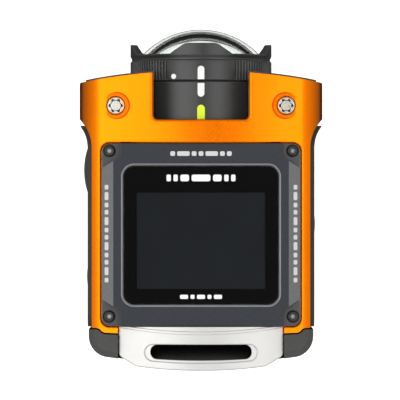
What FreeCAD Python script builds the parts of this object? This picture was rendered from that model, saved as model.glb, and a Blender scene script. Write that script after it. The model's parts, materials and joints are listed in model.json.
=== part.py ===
import FreeCAD, Part
import math
import os

# Rugged action camera with a dome lens protector, built as an assembly of separate pieces.
#
# Frame, in millimetres: +Z up out of the screen, the lens looks along -Y, X runs across the body.
# The origin is the mouth of the tripod socket, on the base.

V = FreeCAD.Vector
X_AXIS = V(1, 0, 0)
Y_AXIS = V(0, 1, 0)
Z_AXIS = V(0, 0, 1)
FAR = 60.0                    # reaches past the whole camera
SKIN = 0.15                   # gap between neighbouring static pieces
HALF_SQRT = math.sqrt(0.5)

# ---------------------------------------------------------------- body
HEAD_HALF_WIDTH = 29.1        # the shoulders beside the lens
BODY_HALF_WIDTH = 26.1        # the slimmer part behind the waist
TAIL_HALF_WIDTH = 26.85       # the bumper round the tail
CROWN_TOP = 41.6              # highest point of the crowned top shell
CROWN_RADIUS = 120.0
TOP_CORNER_RADIUS = 7.0
BOTTOM_CORNER_RADIUS = 9.0
SHELL_FLOOR = 0.8             # underside of the lower shell; the base pad reaches z = 0
WALL = 1.8
FRONT_Y = -34.42              # front edge of the shells on the centre line
FRONT_ARC_RADIUS = 151.0
FRONT_CORNER_RADIUS = 0.6
COVER_RIM_HALF_WIDTH = 27.5
COVER_RIM = 0.36              # how far the front cover stands ahead of the shells
HEAD_END_Y = -23.0            # where the shoulders step in
WAIST_Y = -16.0               # where the waist curve meets the straight sides
WAIST_RADIUS = 9.4
WAIST_ANGLE = 38.0
CHIN_RADIUS = 2.2
TAIL_UNDER_RADIUS = 6.0
SEAM_Y = 26.9                 # the shells end here
SEAM_GAP = 0.35               # dark gap between the shells and the tail frame
TAIL_Y = 35.4
TAIL_ARC_RADIUS = 166.0
TAIL_CORNER_RADIUS = 5.0
TAIL_BEVEL = 1.5              # on the top edge of the bumper
SPLIT_FRONT_Z = 27.0          # split between the shells beside the lens
SPLIT_BACK_Z = 34.3           # and along the straight sides
SPLIT_Y = (-23.4, -17.4)

# ---------------------------------------------------------------- lens and protector
LENS_Z = 21.6                 # height of the lens axis
RING_RADIUS = 17.1
RING_Y = (-37.2, -32.15)
BARREL_RADIUS = 17.0
BARREL_Y = (-32.0, -20.5)
BARREL_CLEARANCE = 0.2
DOME_RADIUS = 19.6
DOME_APEX_Y = -44.9
DOME_THICKNESS = 2.0
PETAL_TOP_Y = -41.1
PETAL_RIM_Y = -38.6
RELEASE_ANGLE = 22.5          # turn that frees the lens protector
SKIRT_RADII = (13.7, 15.2)
SKIRT_END_Y = -28.6
LUG_RADIUS = 16.0
LUG_Y = (-30.9, -28.7)
LUG_HALF_ANGLE = 10.0
LUG_COUNT = 3
GROOVE_RADIUS = 16.2          # groove in the barrel that the lugs turn in
GROOVE_Y = (-31.0, -27.6)
ENTRY_RADIUS = 15.4
ENTRY_HALF_ANGLE = 11.2
CELL_RADIUS = 13.4
CELL_BORE_RADIUS = 13.5
REAR_TUBE_RADIUS = 14.4       # narrower rear end of the barrel, which carries the sensor board
REAR_TUBE_BORE = 9.0
REAR_TUBE_Y = (-19.6, -16.9)
LIP_RADIUS = 13.3             # front lip of the grip ring, in front of the lens cell
LIP_REAR_Y = -36.8
HOOD_INNER_RADII = (15.65, 15.6, 14.8)   # at its rear, at the petal tops and at the dome
HOOD_GROOVE_RADIUS = 16.75
HOOD_GROOVE_Y = (-37.6, -37.75, -38.3)
HOOD_SEAT_Y = -38.25
PETAL_GAP_X = (5.6, 8.2, 9.7)  # half-widths of the gap between petals: foot, shoulder, top
PETAL_SHOULDER = ((8.8, -40.86), -40.4)
FRONT_LENS_APEX_Y = -40.85
FRONT_LENS_RADII = (11.5, 7.6)   # curvature outside and inside
FRONT_LENS_INNER_Y = -30.9       # centre of the inner curvature
FRONT_LENS_BACK_Y = -33.9
FRONT_LENS_RIM = 10.4
SECOND_LENS = (7.1, -32.0, 16.0, -29.2)   # radius, apex y, curvature, back y
THIRD_LENS = (6.1, -25.6, 14.0, -23.2)
SEAL_CENTRE_RADIUS = 13.0
SEAL_CORD_RADIUS = 0.5
SEAL_Y = -24.0
FILTER_RADIUS = 5.1
FILTER_Y = (-21.6, -21.0)
SENSOR_HALF_SIZE = (5.5, 4.5)
SENSOR_Y = (-17.9, -16.8)
SENSOR_BOARD_RADIUS = 14.0
SENSOR_BOARD_Y = (-16.8, -15.8)
SENSOR_SCREW_CIRCLE = 12.0
SENSOR_SCREW_COUNT = 3
MARK_DEPTH = 0.25
MARK_PROUD = 0.02
RELEASE_DOT_ANGLE = 22.5
RELEASE_DOT = (-33.1, 0.62)   # y and radius
RING_BAR_Y = (-35.6, -32.4)
BARREL_BAR_Y = (-31.5, -28.25)
BAR_HALF_WIDTH = 0.8
ORIENTATION_Y = (-26.3, -22.9)
ORIENTATION_HALF_WIDTH = 0.9

NOTCH_HALF_WIDTH = 11.3       # finger notch in the top shell, over the grip ring
NOTCH_Y = -22.85
NOTCH_CORNER_RADIUS = 1.1
NOTCH_EDGE_RADIUS = 0.8

# ---------------------------------------------------------------- screen
BEZEL_HALF_WIDTH = 23.7
BEZEL_FLAT_HALF_WIDTH = 20.9
BEZEL_Y = (-17.05, 26.45)
BEZEL_TOP = 40.6
BEZEL_SIDE_TOP = 39.1
BEZEL_FLOOR = 38.3
BEZEL_CORNER_RADIUS = 2.0
RECESS_EDGE_RADIUS = 0.45
POCKET_FLOOR = 39.2
SCREEN_HALF_WIDTH = 18.5
SCREEN_Y = (-11.75, 21.3)
SCREEN_TOP = 40.45
SCREEN_CORNER_RADIUS = 2.6
MASK_THICKNESS = 0.25
GLASS_THICKNESS = 1.2
ACTIVE_HALF_WIDTH = 15.27     # 1.5 inch display, 30.5 x 22.9
ACTIVE_Y = (-5.35, 17.6)
LEDGE_FLOOR = 36.2            # underside of the seat that carries the bezel
BEZEL_SCREWS = ((21.8, -15.3), (21.9, 24.15))
BEZEL_SCREW_HEAD = (1.3, 0.9)  # radius and height
BEZEL_SCREW_SEAT = 38.8
BEZEL_COUNTERBORE_RADIUS = 1.55
BEZEL_SCREW_SHAFT = (0.9, 7.1)   # radius and length
BEZEL_SCREW_SOCKET = 0.75
SHELL_SCREW = (20.3, -26.1)
SHELL_SCREW_HEAD = (2.1, 1.5)
SHELL_SCREW_SEAT = 38.2
SHELL_COUNTERBORE_RADIUS = 2.3
SHELL_SCREW_SHAFT = (1.2, 16.0)
SHELL_SCREW_SOCKET = 1.75
SHELL_SCREW_POST = 1.2
SHELL_BOSS_RADIUS = 3.4
HEAD_BEVEL = 0.25             # on screw heads
WINDOW_BEVEL = 0.45           # on the bezel, round the glass
GLASS_BEVEL = 0.2
SPOT_FACE_RADIUS = 3.0        # flat let into the crown round each shell screw
SPOT_FACE_FLARE = 0.45        # how far its wall leans outward per millimetre of height
SPOT_FACE_HEIGHT = 4.0
SPOT_FACE_Z = 39.47

# ---------------------------------------------------------------- strap guard
GUARD_HALF_WIDTH = 19.65
GUARD_TOP = 42.3              # overall height of the camera
GUARD_RADIUS = 60.0
GUARD_THICKNESS = 3.0
GUARD_Y = (26.6, 37.0)
GUARD_STEPS = ((27.7, 0.35, 2.15), (28.4, 0.12, 1.94))   # middle y, depth and slope of each step
SHELF_HALF_LENGTH = 13.35     # mouth of the strap slot
SHELF_DEPTH = 0.4
SHELF_EDGE_RADIUS = 0.25
GUARD_EDGE_RADIUS = 0.3
SLOT_HALF_LENGTH = 12.05
SLOT_Y = (30.8, 34.6)
STRAP_RECESS_FLOOR = 31.0
STRAP_RECESS_HALF_WIDTH = 15.5
STRAP_RECESS_Y = 30.2
FOOT_X = (15.9, 19.2)
FOOT_Y = (27.9, 31.0)
FOOT_Z = 31.2
GUARD_SCREW = (17.5, 33.4)

# ---------------------------------------------------------------- grips and buttons
GRIP_DEPTH = 0.7              # let into the lower shell
GRIP_PROUD = 1.1
GRIP_HALF_WIDTH = 29.0
GRIP_Y = (-21.5, 26.8)
GRIP_Z = (7.5, 33.1)
GRIP_CORNER_RADIUS = 3.0
GRIP_SPLIT_GAP = 1.2          # left between a grip and the top shell
BUTTON_Z = 20.0
BUTTON_CLEARANCE = 0.2
BUTTON_TRAVEL = 0.6
CAP_RADIUS = 18.0             # curve of a button cap along the body
CAP_EDGE_RADIUS = 0.45
FLANGE_X = (23.0, 24.15)
FLANGE_LIP = 0.8
SWITCH_GAP = 0.05
SWITCH_BOARD_X = (19.7, 20.3)
# name: side, centre y, length along y, height along z, outer x
BUTTONS = {
    "shutter_button": (1, -10.8, 12.0, 8.0, 28.3),
    "power_button": (1, 14.85, 7.0, 7.0, 27.6),
    "mode_button": (-1, -11.4, 6.6, 6.6, 27.5),
    "light_button": (-1, 2.2, 7.6, 6.6, 27.6),
    "wireless_button": (-1, 15.2, 6.0, 6.0, 27.5),
}

# ---------------------------------------------------------------- tail and battery door
BULKHEAD_Y = (28.6, 31.0)
DOOR_X = (-22.0, 20.0)
DOOR_Z = (5.4, 28.6)
DOOR_INNER_Y = 31.5
DOOR_GAP = 0.15
DOOR_CORNER_RADIUS = 2.5
HINGE_X = -22.0
HINGE_Y = 31.3
HINGE_RADIUS = 2.5
HINGE_RELIEF = 3.0
HINGE_GROOVE_X = -19.8
PIN_RADIUS = 0.8
PIN_CLEARANCE = 0.04
PIN_Z = (3.9, 30.0)
LATCH_TRAVEL = 1.6
LATCH_Z = 17.0
LATCH_PLATE_X = (9.5, 18.1)
LATCH_PLATE_Y = (32.1, 33.0)
LATCH_PLATE_HALF_HEIGHT = 4.5
LATCH_BOLT_X = 19.8
LATCH_BOLT_HALF_HEIGHT = 2.6
LATCH_KNOB_X = (11.2, 15.6)
LATCH_KNOB_HALF_HEIGHT = 3.4
LATCH_GAP = 0.1

# ---------------------------------------------------------------- inside
BATTERY_X = 17.0
BATTERY_Y = (-10.7, 29.3)
BATTERY_Z = (7.6, 14.8)
BATTERY_GAP = 0.3
BAY_WALL = 0.8
CATCH_TRAVEL = 1.6
CATCH_X = 4.0
CATCH_Y = (29.6, 30.9)
CATCH_Z = (13.9, 18.9)
BOARD_X = 18.0
BOARD_Y = (-13.0, 28.4)
BOARD_Z = (21.0, 22.0)
SOCKET_FRONT_Y = 23.0
SOCKET_REAR_Y = 30.6
USB_X = (-12.4, -4.6)
USB_HEIGHT = 2.9
HDMI_X = (-2.2, 4.4)
HDMI_HEIGHT = 3.2
CARD_X = (6.6, 17.6)
CARD_Y = (15.3, 30.3)
CARD_Z = (22.6, 23.4)

# ---------------------------------------------------------------- base
PAD_HALF_WIDTH = 15.5
PAD_Y = (-17.0, 22.0)
PAD_TOP = 1.3
INSERT_RADIUS = 5.5
INSERT_FLANGE_RADIUS = 7.5
INSERT_TOP = 6.3
TRIPOD_BORE_RADIUS = 3.3      # takes a 1/4-20 screw, modelled smooth
TRIPOD_BORE_DEPTH = 5.5
PAD_CORNER_RADIUS = 3.0
PAD_GROOVES_Y = (-14.0, -11.5, 14.5, 17.0)
PAD_GROOVE_HALF_LENGTH = 11.5
PAD_GROOVE_WIDTH = 0.9
PAD_GROOVE_DEPTH = 0.35
BASE_SCREWS = ((12.0, -26.5), (12.0, 24.9))

# ---------------------------------------------------------------- sound
MICROPHONE = (24.3, 30.6)     # x and z
MICROPHONE_HOLE_PITCH = 1.2
MICROPHONE_HOLE_RADIUS = 0.35
SPEAKER = (-22.4, 12.0)
SPEAKER_HOLE_X = -22.6
SPEAKER_HOLE_PITCH = 1.4
SPEAKER_HOLE_RADIUS = 0.4
SOUND_Y = -30.4               # fronts of the speaker and the microphones


# ---------------------------------------------------------------- drawing helpers
PLANES = {
    "xy": lambda a, b, c: V(a, b, c),
    "xz": lambda a, b, c: V(a, c, b),
    "yz": lambda a, b, c: V(c, a, b),
}
NORMALS = {"xy": Z_AXIS, "xz": Y_AXIS, "yz": X_AXIS}


def drawn_edges(plane, level, start, steps):
    """Chain of edges. A step is a point for a line, or (through, end) for an arc."""
    place = PLANES[plane]
    here = start
    edges = []
    for step in steps:
        if isinstance(step[0], tuple):
            through, end = step
            arc = Part.Arc(place(*here, level), place(*through, level), place(*end, level))
            edges.append(arc.toShape())
        else:
            end = step
            if math.dist(here, end) > 1e-7:
                edges.append(Part.LineSegment(place(*here, level), place(*end, level)).toShape())
        here = end
    return edges


def drawn_face(plane, level, start, steps):
    return Part.Face(Part.Wire(drawn_edges(plane, level, start, list(steps) + [start])))


def prism(plane, low, high, start, *steps):
    return drawn_face(plane, low, start, steps).extrude(NORMALS[plane] * (high - low))


def mirrored(shape):
    return shape.mirror(V(0, 0, 0), X_AXIS)


def both_sides(shape):
    return [shape, mirrored(shape)]


def joined(shapes):
    shapes = list(shapes)
    if len(shapes) == 1:
        return shapes[0]
    return shapes[0].multiFuse(shapes[1:]).removeSplitter()


def twin_prism(plane, low, high, start, *steps):
    """Prism drawn for x >= 0, from the centre line back to it, and mirrored."""
    return joined(both_sides(prism(plane, low, high, start, *steps)))


def cut_all(shape, tools):
    for tool in tools:
        shape = shape.cut(tool)
    return shape.removeSplitter()


def block(x, y, z):
    return Part.makeBox(x[1] - x[0], y[1] - y[0], z[1] - z[0], V(x[0], y[0], z[0]))


def centred(half_width):
    return (-half_width, half_width)


def rounded_block(plane, low, high, a, b, radius):
    """Prism with a rounded rectangle section; a and b are its limits on the plane's two axes."""
    r, k = radius, radius * (1 - HALF_SQRT)
    (a0, a1), (b0, b1) = a, b
    return prism(
        plane, low, high, (a0 + r, b0), (a1 - r, b0), ((a1 - k, b0 + k), (a1, b0 + r)),
        (a1, b1 - r), ((a1 - k, b1 - k), (a1 - r, b1)), (a0 + r, b1),
        ((a0 + k, b1 - k), (a0, b1 - r)), (a0, b0 + r), ((a0 + k, b0 + k), (a0 + r, b0)),
    )


def rod(x, y, z, radius, length, axis=Z_AXIS):
    return Part.makeCylinder(radius, length, V(x, y, z), axis)


def lens_rod(radius, y):
    return rod(0, y[0], LENS_Z, radius, y[1] - y[0], Y_AXIS)


def turned(*profile):
    """Solid of revolution about the lens axis, from (radius, y) points."""
    points = [(y, radius + LENS_Z) for radius, y in profile]
    return drawn_face("yz", 0, points[0], points[1:]).revolve(V(0, 0, LENS_Z), Y_AXIS, 360)


def lens_ball(radius, centre_y):
    return Part.makeSphere(radius, V(0, centre_y, LENS_Z))


def wedge(angle, half_angle, y):
    """Pie slice about the lens axis; angles run from +Z toward +X, in degrees."""
    tips = [(0, LENS_Z)]
    for turn in (angle - half_angle, angle + half_angle):
        a = math.radians(turn)
        tips.append((FAR * math.sin(a), LENS_Z + FAR * math.cos(a)))
    return prism("xz", y[0], y[1], *tips)


def spun(shape, angle):
    """Turn a shape about the lens axis, from +Z toward +X."""
    copy = shape.copy()
    copy.rotate(V(0, 0, LENS_Z), Y_AXIS, angle)
    return copy


def softened(shape, radius, test):
    """Round the edges that pass the test."""
    edges = [edge for edge in shape.Edges if edge.Length > 0.05 and test(edge)]
    return shape.makeFillet(radius, edges)


def bevelled(shape, size, test):
    edges = [edge for edge in shape.Edges if edge.Length > 0.05 and test(edge)]
    return shape.makeChamfer(size, edges)


def at_level(axis, level, within=None):
    """Test for edges lying at one level of an axis ('X', 'Y' or 'Z')."""
    low, high = axis + "Min", axis + "Max"

    def test(edge):
        box = edge.BoundBox
        flat = abs(getattr(box, low) - level) < 1e-4 and abs(getattr(box, high) - level) < 1e-4
        return flat and (within is None or within(box))

    return test


# ---------------------------------------------------------------- body forms
def full_face(plane, start, *steps):
    """Symmetric face: drawn for x >= 0 from the centre line back to it, then mirrored."""
    half = drawn_edges(plane, 0, start, steps)
    edges = half + [mirrored(edge) for edge in half]
    return Part.Face(Part.Wire(Part.__sortEdges__(edges)))


def inset_face(face, inset):
    return face.makeOffset2D(-inset, 0) if inset else face


def plan_form(inset=0.0):
    """Body seen from above: shoulders, waist, straight sides; it runs on past the seam."""
    centre_y = FRONT_Y + FRONT_ARC_RADIUS

    def front(x):
        return (x, centre_y - math.sqrt(FRONT_ARC_RADIUS ** 2 - x ** 2))

    def waist(angle):
        a = math.radians(angle)
        return (BODY_HALF_WIDTH + WAIST_RADIUS * (1 - math.cos(a)),
                WAIST_Y - WAIST_RADIUS * math.sin(a))

    corner = front(HEAD_HALF_WIDTH - FRONT_CORNER_RADIUS)
    k = FRONT_CORNER_RADIUS * (1 - HALF_SQRT)
    face = full_face(
        "xy", (0, FRONT_Y), (front(corner[0] / 2), corner),
        ((HEAD_HALF_WIDTH - k, corner[1] + 0.8 * k),
         (HEAD_HALF_WIDTH, corner[1] + 0.8 * FRONT_CORNER_RADIUS)),
        (HEAD_HALF_WIDTH, HEAD_END_Y), waist(WAIST_ANGLE),
        (waist(WAIST_ANGLE / 2), waist(0)), (BODY_HALF_WIDTH, FAR), (0, FAR),
    )
    solid = inset_face(face, inset).extrude(Z_AXIS * 2 * FAR)
    solid.translate(V(0, 0, -FAR))
    return solid


def section_form(inset=0.0):
    """Cross-section across the body: crowned top and round corners, the same all along."""
    crown_z = CROWN_TOP - CROWN_RADIUS
    corner_x = HEAD_HALF_WIDTH - TOP_CORNER_RADIUS
    reach = CROWN_RADIUS - TOP_CORNER_RADIUS
    corner_z = crown_z + math.sqrt(reach ** 2 - corner_x ** 2)
    angle = math.atan2(corner_z - crown_z, corner_x)

    def crown(turn):
        return (CROWN_RADIUS * math.cos(turn), crown_z + CROWN_RADIUS * math.sin(turn))

    top_mid = (corner_x + TOP_CORNER_RADIUS * math.cos(angle / 2),
               corner_z + TOP_CORNER_RADIUS * math.sin(angle / 2))
    foot_x = HEAD_HALF_WIDTH - BOTTOM_CORNER_RADIUS
    foot_z = SHELL_FLOOR + BOTTOM_CORNER_RADIUS
    foot_mid = (foot_x + BOTTOM_CORNER_RADIUS * HALF_SQRT,
                foot_z - BOTTOM_CORNER_RADIUS * HALF_SQRT)
    face = full_face(
        "xz", (0, CROWN_TOP), (crown((angle + math.pi / 2) / 2), crown(angle)),
        (top_mid, (HEAD_HALF_WIDTH, corner_z)), (HEAD_HALF_WIDTH, foot_z),
        (foot_mid, (foot_x, SHELL_FLOOR)), (0, SHELL_FLOOR),
    )
    solid = inset_face(face, inset).extrude(Y_AXIS * 2 * FAR)
    solid.translate(V(0, -FAR, 0))
    return solid


def side_form(inset=0.0):
    """Side view: rounds the lower front and lower rear edges."""
    front, rear, floor = FRONT_Y - 0.4 + inset, TAIL_Y - inset, SHELL_FLOOR + inset
    chin, under = max(CHIN_RADIUS - inset, 0.4), TAIL_UNDER_RADIUS - inset
    chin_k, under_k = chin * (1 - HALF_SQRT), under * (1 - HALF_SQRT)
    return prism(
        "yz", -FAR, FAR, (front + chin, floor), (rear - under, floor),
        ((rear - under_k, floor + under_k), (rear, floor + under)), (rear, FAR), (front, FAR),
        (front, floor + chin), ((front + chin_k, floor + chin_k), (front + chin, floor)),
    )


def upper_zone():
    """Everything above the split between the top shell and the lower shell."""
    return prism(
        "yz", -FAR, FAR, (-FAR, SPLIT_FRONT_Z), (SPLIT_Y[0], SPLIT_FRONT_Z),
        (SPLIT_Y[1], SPLIT_BACK_Z), (FAR, SPLIT_BACK_Z), (FAR, FAR), (-FAR, FAR),
    )


def tongue_zone(grow=0.0):
    """The top shell's rear edge seen from above: it wraps the bezel corners up to the guard."""
    shoulder_x, tip_x, tip_y = 25.0, 22.6, 28.05
    inner_x = GUARD_HALF_WIDTH + SKIN
    face = full_face(
        "xy", (0, -FAR), (FAR, -FAR), (FAR, SEAM_Y), (shoulder_x, SEAM_Y),
        ((24.4, 27.05), (23.9, 27.45)), ((23.4, 27.85), (tip_x, tip_y)), (inner_x, tip_y + 0.1),
        (inner_x, BEZEL_Y[1] + SKIN), (0, BEZEL_Y[1] + SKIN),
    )
    solid = inset_face(face, -grow).extrude(Z_AXIS * 2 * FAR)
    solid.translate(V(0, 0, -FAR))
    return solid


def body_form(inset=0.0):
    return plan_form(inset).common(section_form(inset)).common(side_form(inset))


def notch_zone(grow=0.0):
    """Finger notch over the grip ring, open to the front and the top."""
    half, end, r = NOTCH_HALF_WIDTH + grow, NOTCH_Y + grow, NOTCH_CORNER_RADIUS
    k = r * (1 - HALF_SQRT)
    return twin_prism(
        "xy", LENS_Z, FAR, (0, -FAR), (half, -FAR), (half, end - r),
        ((half - k, end - k), (half - r, end)), (0, end),
    )


def cavity():
    """Inside of the shells: open at the front for the cover and at the rear for the tail."""
    mouth_x = HEAD_HALF_WIDTH - WALL
    plan = plan_form(WALL).fuse(block(centred(mouth_x), (-FAR, HEAD_END_Y - 4), (-FAR, FAR)))
    room = plan.common(section_form(WALL))
    floor = block(centred(FAR), (-FAR, FAR), (SHELL_FLOOR + WALL, FAR))
    room = room.common(floor)
    seat = block(centred(FAR), (BEZEL_Y[0] - WALL, FAR), (LEDGE_FLOOR, FAR))
    return cut_all(room, [notch_zone(WALL), seat])


def barrel_room():
    return lens_rod(BARREL_RADIUS + BARREL_CLEARANCE, (-FAR, BARREL_Y[1] + BARREL_CLEARANCE))


def sided(points):
    return [(sign * x, y) for x, y in points for sign in (1, -1)]


# ---------------------------------------------------------------- shells
def on_notch_rim(edge):
    """Upper edges of the finger notch."""
    box = edge.BoundBox
    inside = max(abs(box.XMin), abs(box.XMax)) < NOTCH_HALF_WIDTH + 0.01
    along = box.XLength + box.YLength > 0.3
    return box.ZMin > 40.5 and box.YMax < NOTCH_Y + 0.01 and inside and along


def on_recess_rim(edge):
    """Upper edges of the recess round the bezel."""
    box = edge.BoundBox
    x_limit, front_y, rear_y = BEZEL_HALF_WIDTH + SKIN, BEZEL_Y[0] - SKIN, BEZEL_Y[1] + SKIN
    corner = BEZEL_CORNER_RADIUS + SKIN + 0.01
    reach = max(abs(box.XMin), abs(box.XMax))
    front = abs(box.YMin - front_y) < 0.01 and box.YMax < front_y + corner
    rear = abs(box.YMax - rear_y) < 0.01 and box.YMin > rear_y - corner and reach > SCREEN_HALF_WIDTH
    side = abs(reach - x_limit) < 0.01 and min(abs(box.XMin), abs(box.XMax)) > x_limit - 0.01
    high = box.ZMin > BEZEL_FLOOR + 0.2 and box.XLength + box.YLength > 0.3
    return high and reach < x_limit + 0.01 and (front or side or rear)


def top_shell():
    shell = body_form().common(upper_zone()).common(tongue_zone())
    bosses = [rod(x, y, 30.0, 2.3, 7.0) for x, y in sided(BEZEL_SCREWS)]
    bosses += [rod(x, y, SPLIT_FRONT_Z, SHELL_BOSS_RADIUS, 12.0) for x, y in sided([SHELL_SCREW])]
    room = cut_all(cavity(), bosses)
    window = rounded_block(
        "xy", 0, FAR, centred(SCREEN_HALF_WIDTH - 1.2),
        (SCREEN_Y[0] + 1.2, SCREEN_Y[1] - 1.2), SCREEN_CORNER_RADIUS)
    recess = rounded_block(
        "xy", BEZEL_FLOOR, FAR, centred(BEZEL_HALF_WIDTH + SKIN),
        (BEZEL_Y[0] - SKIN, BEZEL_Y[1] + SKIN), BEZEL_CORNER_RADIUS + SKIN)
    tools = [room, window, recess, notch_zone(), barrel_room()]
    tools += [rod(x, y, 29.0, 0.95, 12.0) for x, y in sided(BEZEL_SCREWS)]
    for x, y in sided([SHELL_SCREW]):
        mouth = SPOT_FACE_RADIUS + SPOT_FACE_FLARE * SPOT_FACE_HEIGHT
        tools.append(Part.makeCone(SPOT_FACE_RADIUS, mouth, SPOT_FACE_HEIGHT,
                                   V(x, y, SPOT_FACE_Z)))
        tools.append(rod(x, y, SHELL_SCREW_SEAT, SHELL_COUNTERBORE_RADIUS, 6.0))
        tools.append(rod(x, y, 20.0, 1.3, 20.0))
    shell = cut_all(shell, tools)
    shell = softened(shell, NOTCH_EDGE_RADIUS, on_notch_rim)
    return softened(shell, RECESS_EDGE_RADIUS, on_recess_rim)


def button_outline(name, grow, x0, x1):
    side, y, length, height, _ = BUTTONS[name]
    half_y, half_z = length / 2 + grow, height / 2 + grow
    radius = min(half_y, half_z) - 0.02
    solid = rounded_block("yz", x0, x1, (y - half_y, y + half_y),
                          (BUTTON_Z - half_z, BUTTON_Z + half_z), radius)
    return solid if side > 0 else mirrored(solid)


def button_holes():
    return [button_outline(name, BUTTON_CLEARANCE, 20.0, 35.0) for name in BUTTONS]


def grip_zone():
    """Side band that a grip fills: a rounded panel with its front top corner cut along the split."""
    panel = rounded_block("yz", 20.0, 40.0, GRIP_Y, GRIP_Z, GRIP_CORNER_RADIUS)
    gap = GRIP_SPLIT_GAP
    return panel.cut(prism(
        "yz", 0, FAR, (-FAR, SPLIT_FRONT_Z - gap), (SPLIT_Y[0] + gap / 3, SPLIT_FRONT_Z - gap),
        (SPLIT_Y[1] + gap / 3, SPLIT_BACK_Z - gap), (FAR, SPLIT_BACK_Z - gap), (FAR, FAR),
        (-FAR, FAR)))


def lower_shell():
    shell = body_form().cut(upper_zone())
    shell = shell.common(block(centred(FAR), (-FAR, SEAM_Y), (-FAR, FAR)))
    bosses = [rod(x, y, 17.0, SHELL_BOSS_RADIUS, 10.0) for x, y in sided([SHELL_SCREW])]
    webs = both_sides(block((SHELL_SCREW[0], HEAD_HALF_WIDTH), (-27.2, -25.0), (17.0, 26.9)))
    room = cut_all(cavity(), bosses + webs)
    tools = [room, barrel_room()]
    tools += both_sides(grip_zone().cut(plan_form(GRIP_DEPTH)))
    tools += button_holes()
    tools.append(pad_outline(0.0, -5, PAD_TOP))
    tools.append(rod(0, 0, -5, INSERT_RADIUS + 0.1, 10))
    tools += [rod(x, y, -5, 1.1, 12) for x, y in sided(BASE_SCREWS)]
    tools += [rod(x, y, -5, 2.1, 6.6) for x, y in sided(BASE_SCREWS)]
    tools += [rod(x, y, 18.0, 1.2, 20.0) for x, y in sided([SHELL_SCREW])]
    return cut_all(shell, tools)


def side_grip():
    grip = grip_zone().cut(plan_form(GRIP_DEPTH)).common(plan_form(-GRIP_PROUD))
    return grip.common(block(centred(GRIP_HALF_WIDTH), (-FAR, FAR), (-FAR, FAR))).removeSplitter()


def front_cover():
    """Dark front plate: a thin rim ahead of the shells and a plug inside them."""
    front_only = block(centred(COVER_RIM_HALF_WIDTH), (-FAR, -28), (-FAR, FAR))
    rim = plan_form(-COVER_RIM).cut(plan_form()).common(section_form(0.25)).common(side_form(-0.1))
    plug_x = HEAD_HALF_WIDTH - WALL - SKIN
    plug = plan_form().cut(plan_form(1.6)).common(section_form(WALL + SKIN))
    plug = plug.common(block(centred(plug_x), (-FAR, -28), (-FAR, FAR)))
    plug = plug.cut(notch_zone(WALL + SKIN))
    cover = joined([rim.common(front_only), plug])
    hole = lens_rod(RING_RADIUS + 0.4, (-FAR, FAR))
    mic_x, mic_z = MICROPHONE
    holes = [rod(sign * mic_x, -FAR, mic_z + k * MICROPHONE_HOLE_PITCH, MICROPHONE_HOLE_RADIUS,
                 2 * FAR, Y_AXIS)
             for sign in (1, -1) for k in (-1, 0, 1)]
    holes += [rod(SPEAKER_HOLE_X + i * SPEAKER_HOLE_PITCH, -FAR, SPEAKER[1] + k * SPEAKER_HOLE_PITCH,
                  SPEAKER_HOLE_RADIUS, 2 * FAR, Y_AXIS)
              for i in (-1, 0, 1) for k in (-1, 0, 1)]
    return cut_all(cover, [hole, notch_zone(0.0)] + holes)


# ---------------------------------------------------------------- tail
def tail_plan():
    centre_y = TAIL_Y - TAIL_ARC_RADIUS
    corner_x = TAIL_HALF_WIDTH - TAIL_CORNER_RADIUS
    reach = TAIL_ARC_RADIUS - TAIL_CORNER_RADIUS
    corner_y = centre_y + math.sqrt(reach ** 2 - corner_x ** 2)
    angle = math.atan2(corner_y - centre_y, corner_x)

    def arc(turn):
        return (TAIL_ARC_RADIUS * math.cos(turn), centre_y + TAIL_ARC_RADIUS * math.sin(turn))

    mid = (corner_x + TAIL_CORNER_RADIUS * math.cos(angle / 2),
           corner_y + TAIL_CORNER_RADIUS * math.sin(angle / 2))
    return twin_prism(
        "xy", -FAR, FAR, (0, 0), (TAIL_HALF_WIDTH, 0), (TAIL_HALF_WIDTH, corner_y),
        (mid, arc(angle)), (arc((angle + math.pi / 2) / 2), (0, TAIL_Y)), (0, 0),
    )


def tail_form():
    solid = tail_plan().common(section_form()).common(side_form())

    def on_top_rim(edge):
        box = edge.BoundBox
        upper = box.ZMin > 35 and box.XLength + box.YLength > 0.5
        outermost = min(abs(box.XMin), abs(box.XMax)) > TAIL_HALF_WIDTH - 0.35
        return upper and (box.YMin > 20 or outermost)

    return bevelled(solid, TAIL_BEVEL, on_top_rim)


def guard_cylinder(radius):
    return rod(0, -FAR, GUARD_TOP - GUARD_RADIUS, radius, 2 * FAR, Y_AXIS)


def door_zone(grow=0.0):
    x0, x1 = DOOR_X[0] - grow, DOOR_X[1] + grow
    z0, z1 = DOOR_Z[0] - grow, DOOR_Z[1] + grow
    plate = rounded_block("xz", BULKHEAD_Y[1], FAR, (x0, x1), (z0, z1), DOOR_CORNER_RADIUS)
    square_end = block((x0, 0), (BULKHEAD_Y[1], FAR), (z0, z1))
    return joined([plate, square_end])


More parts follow.
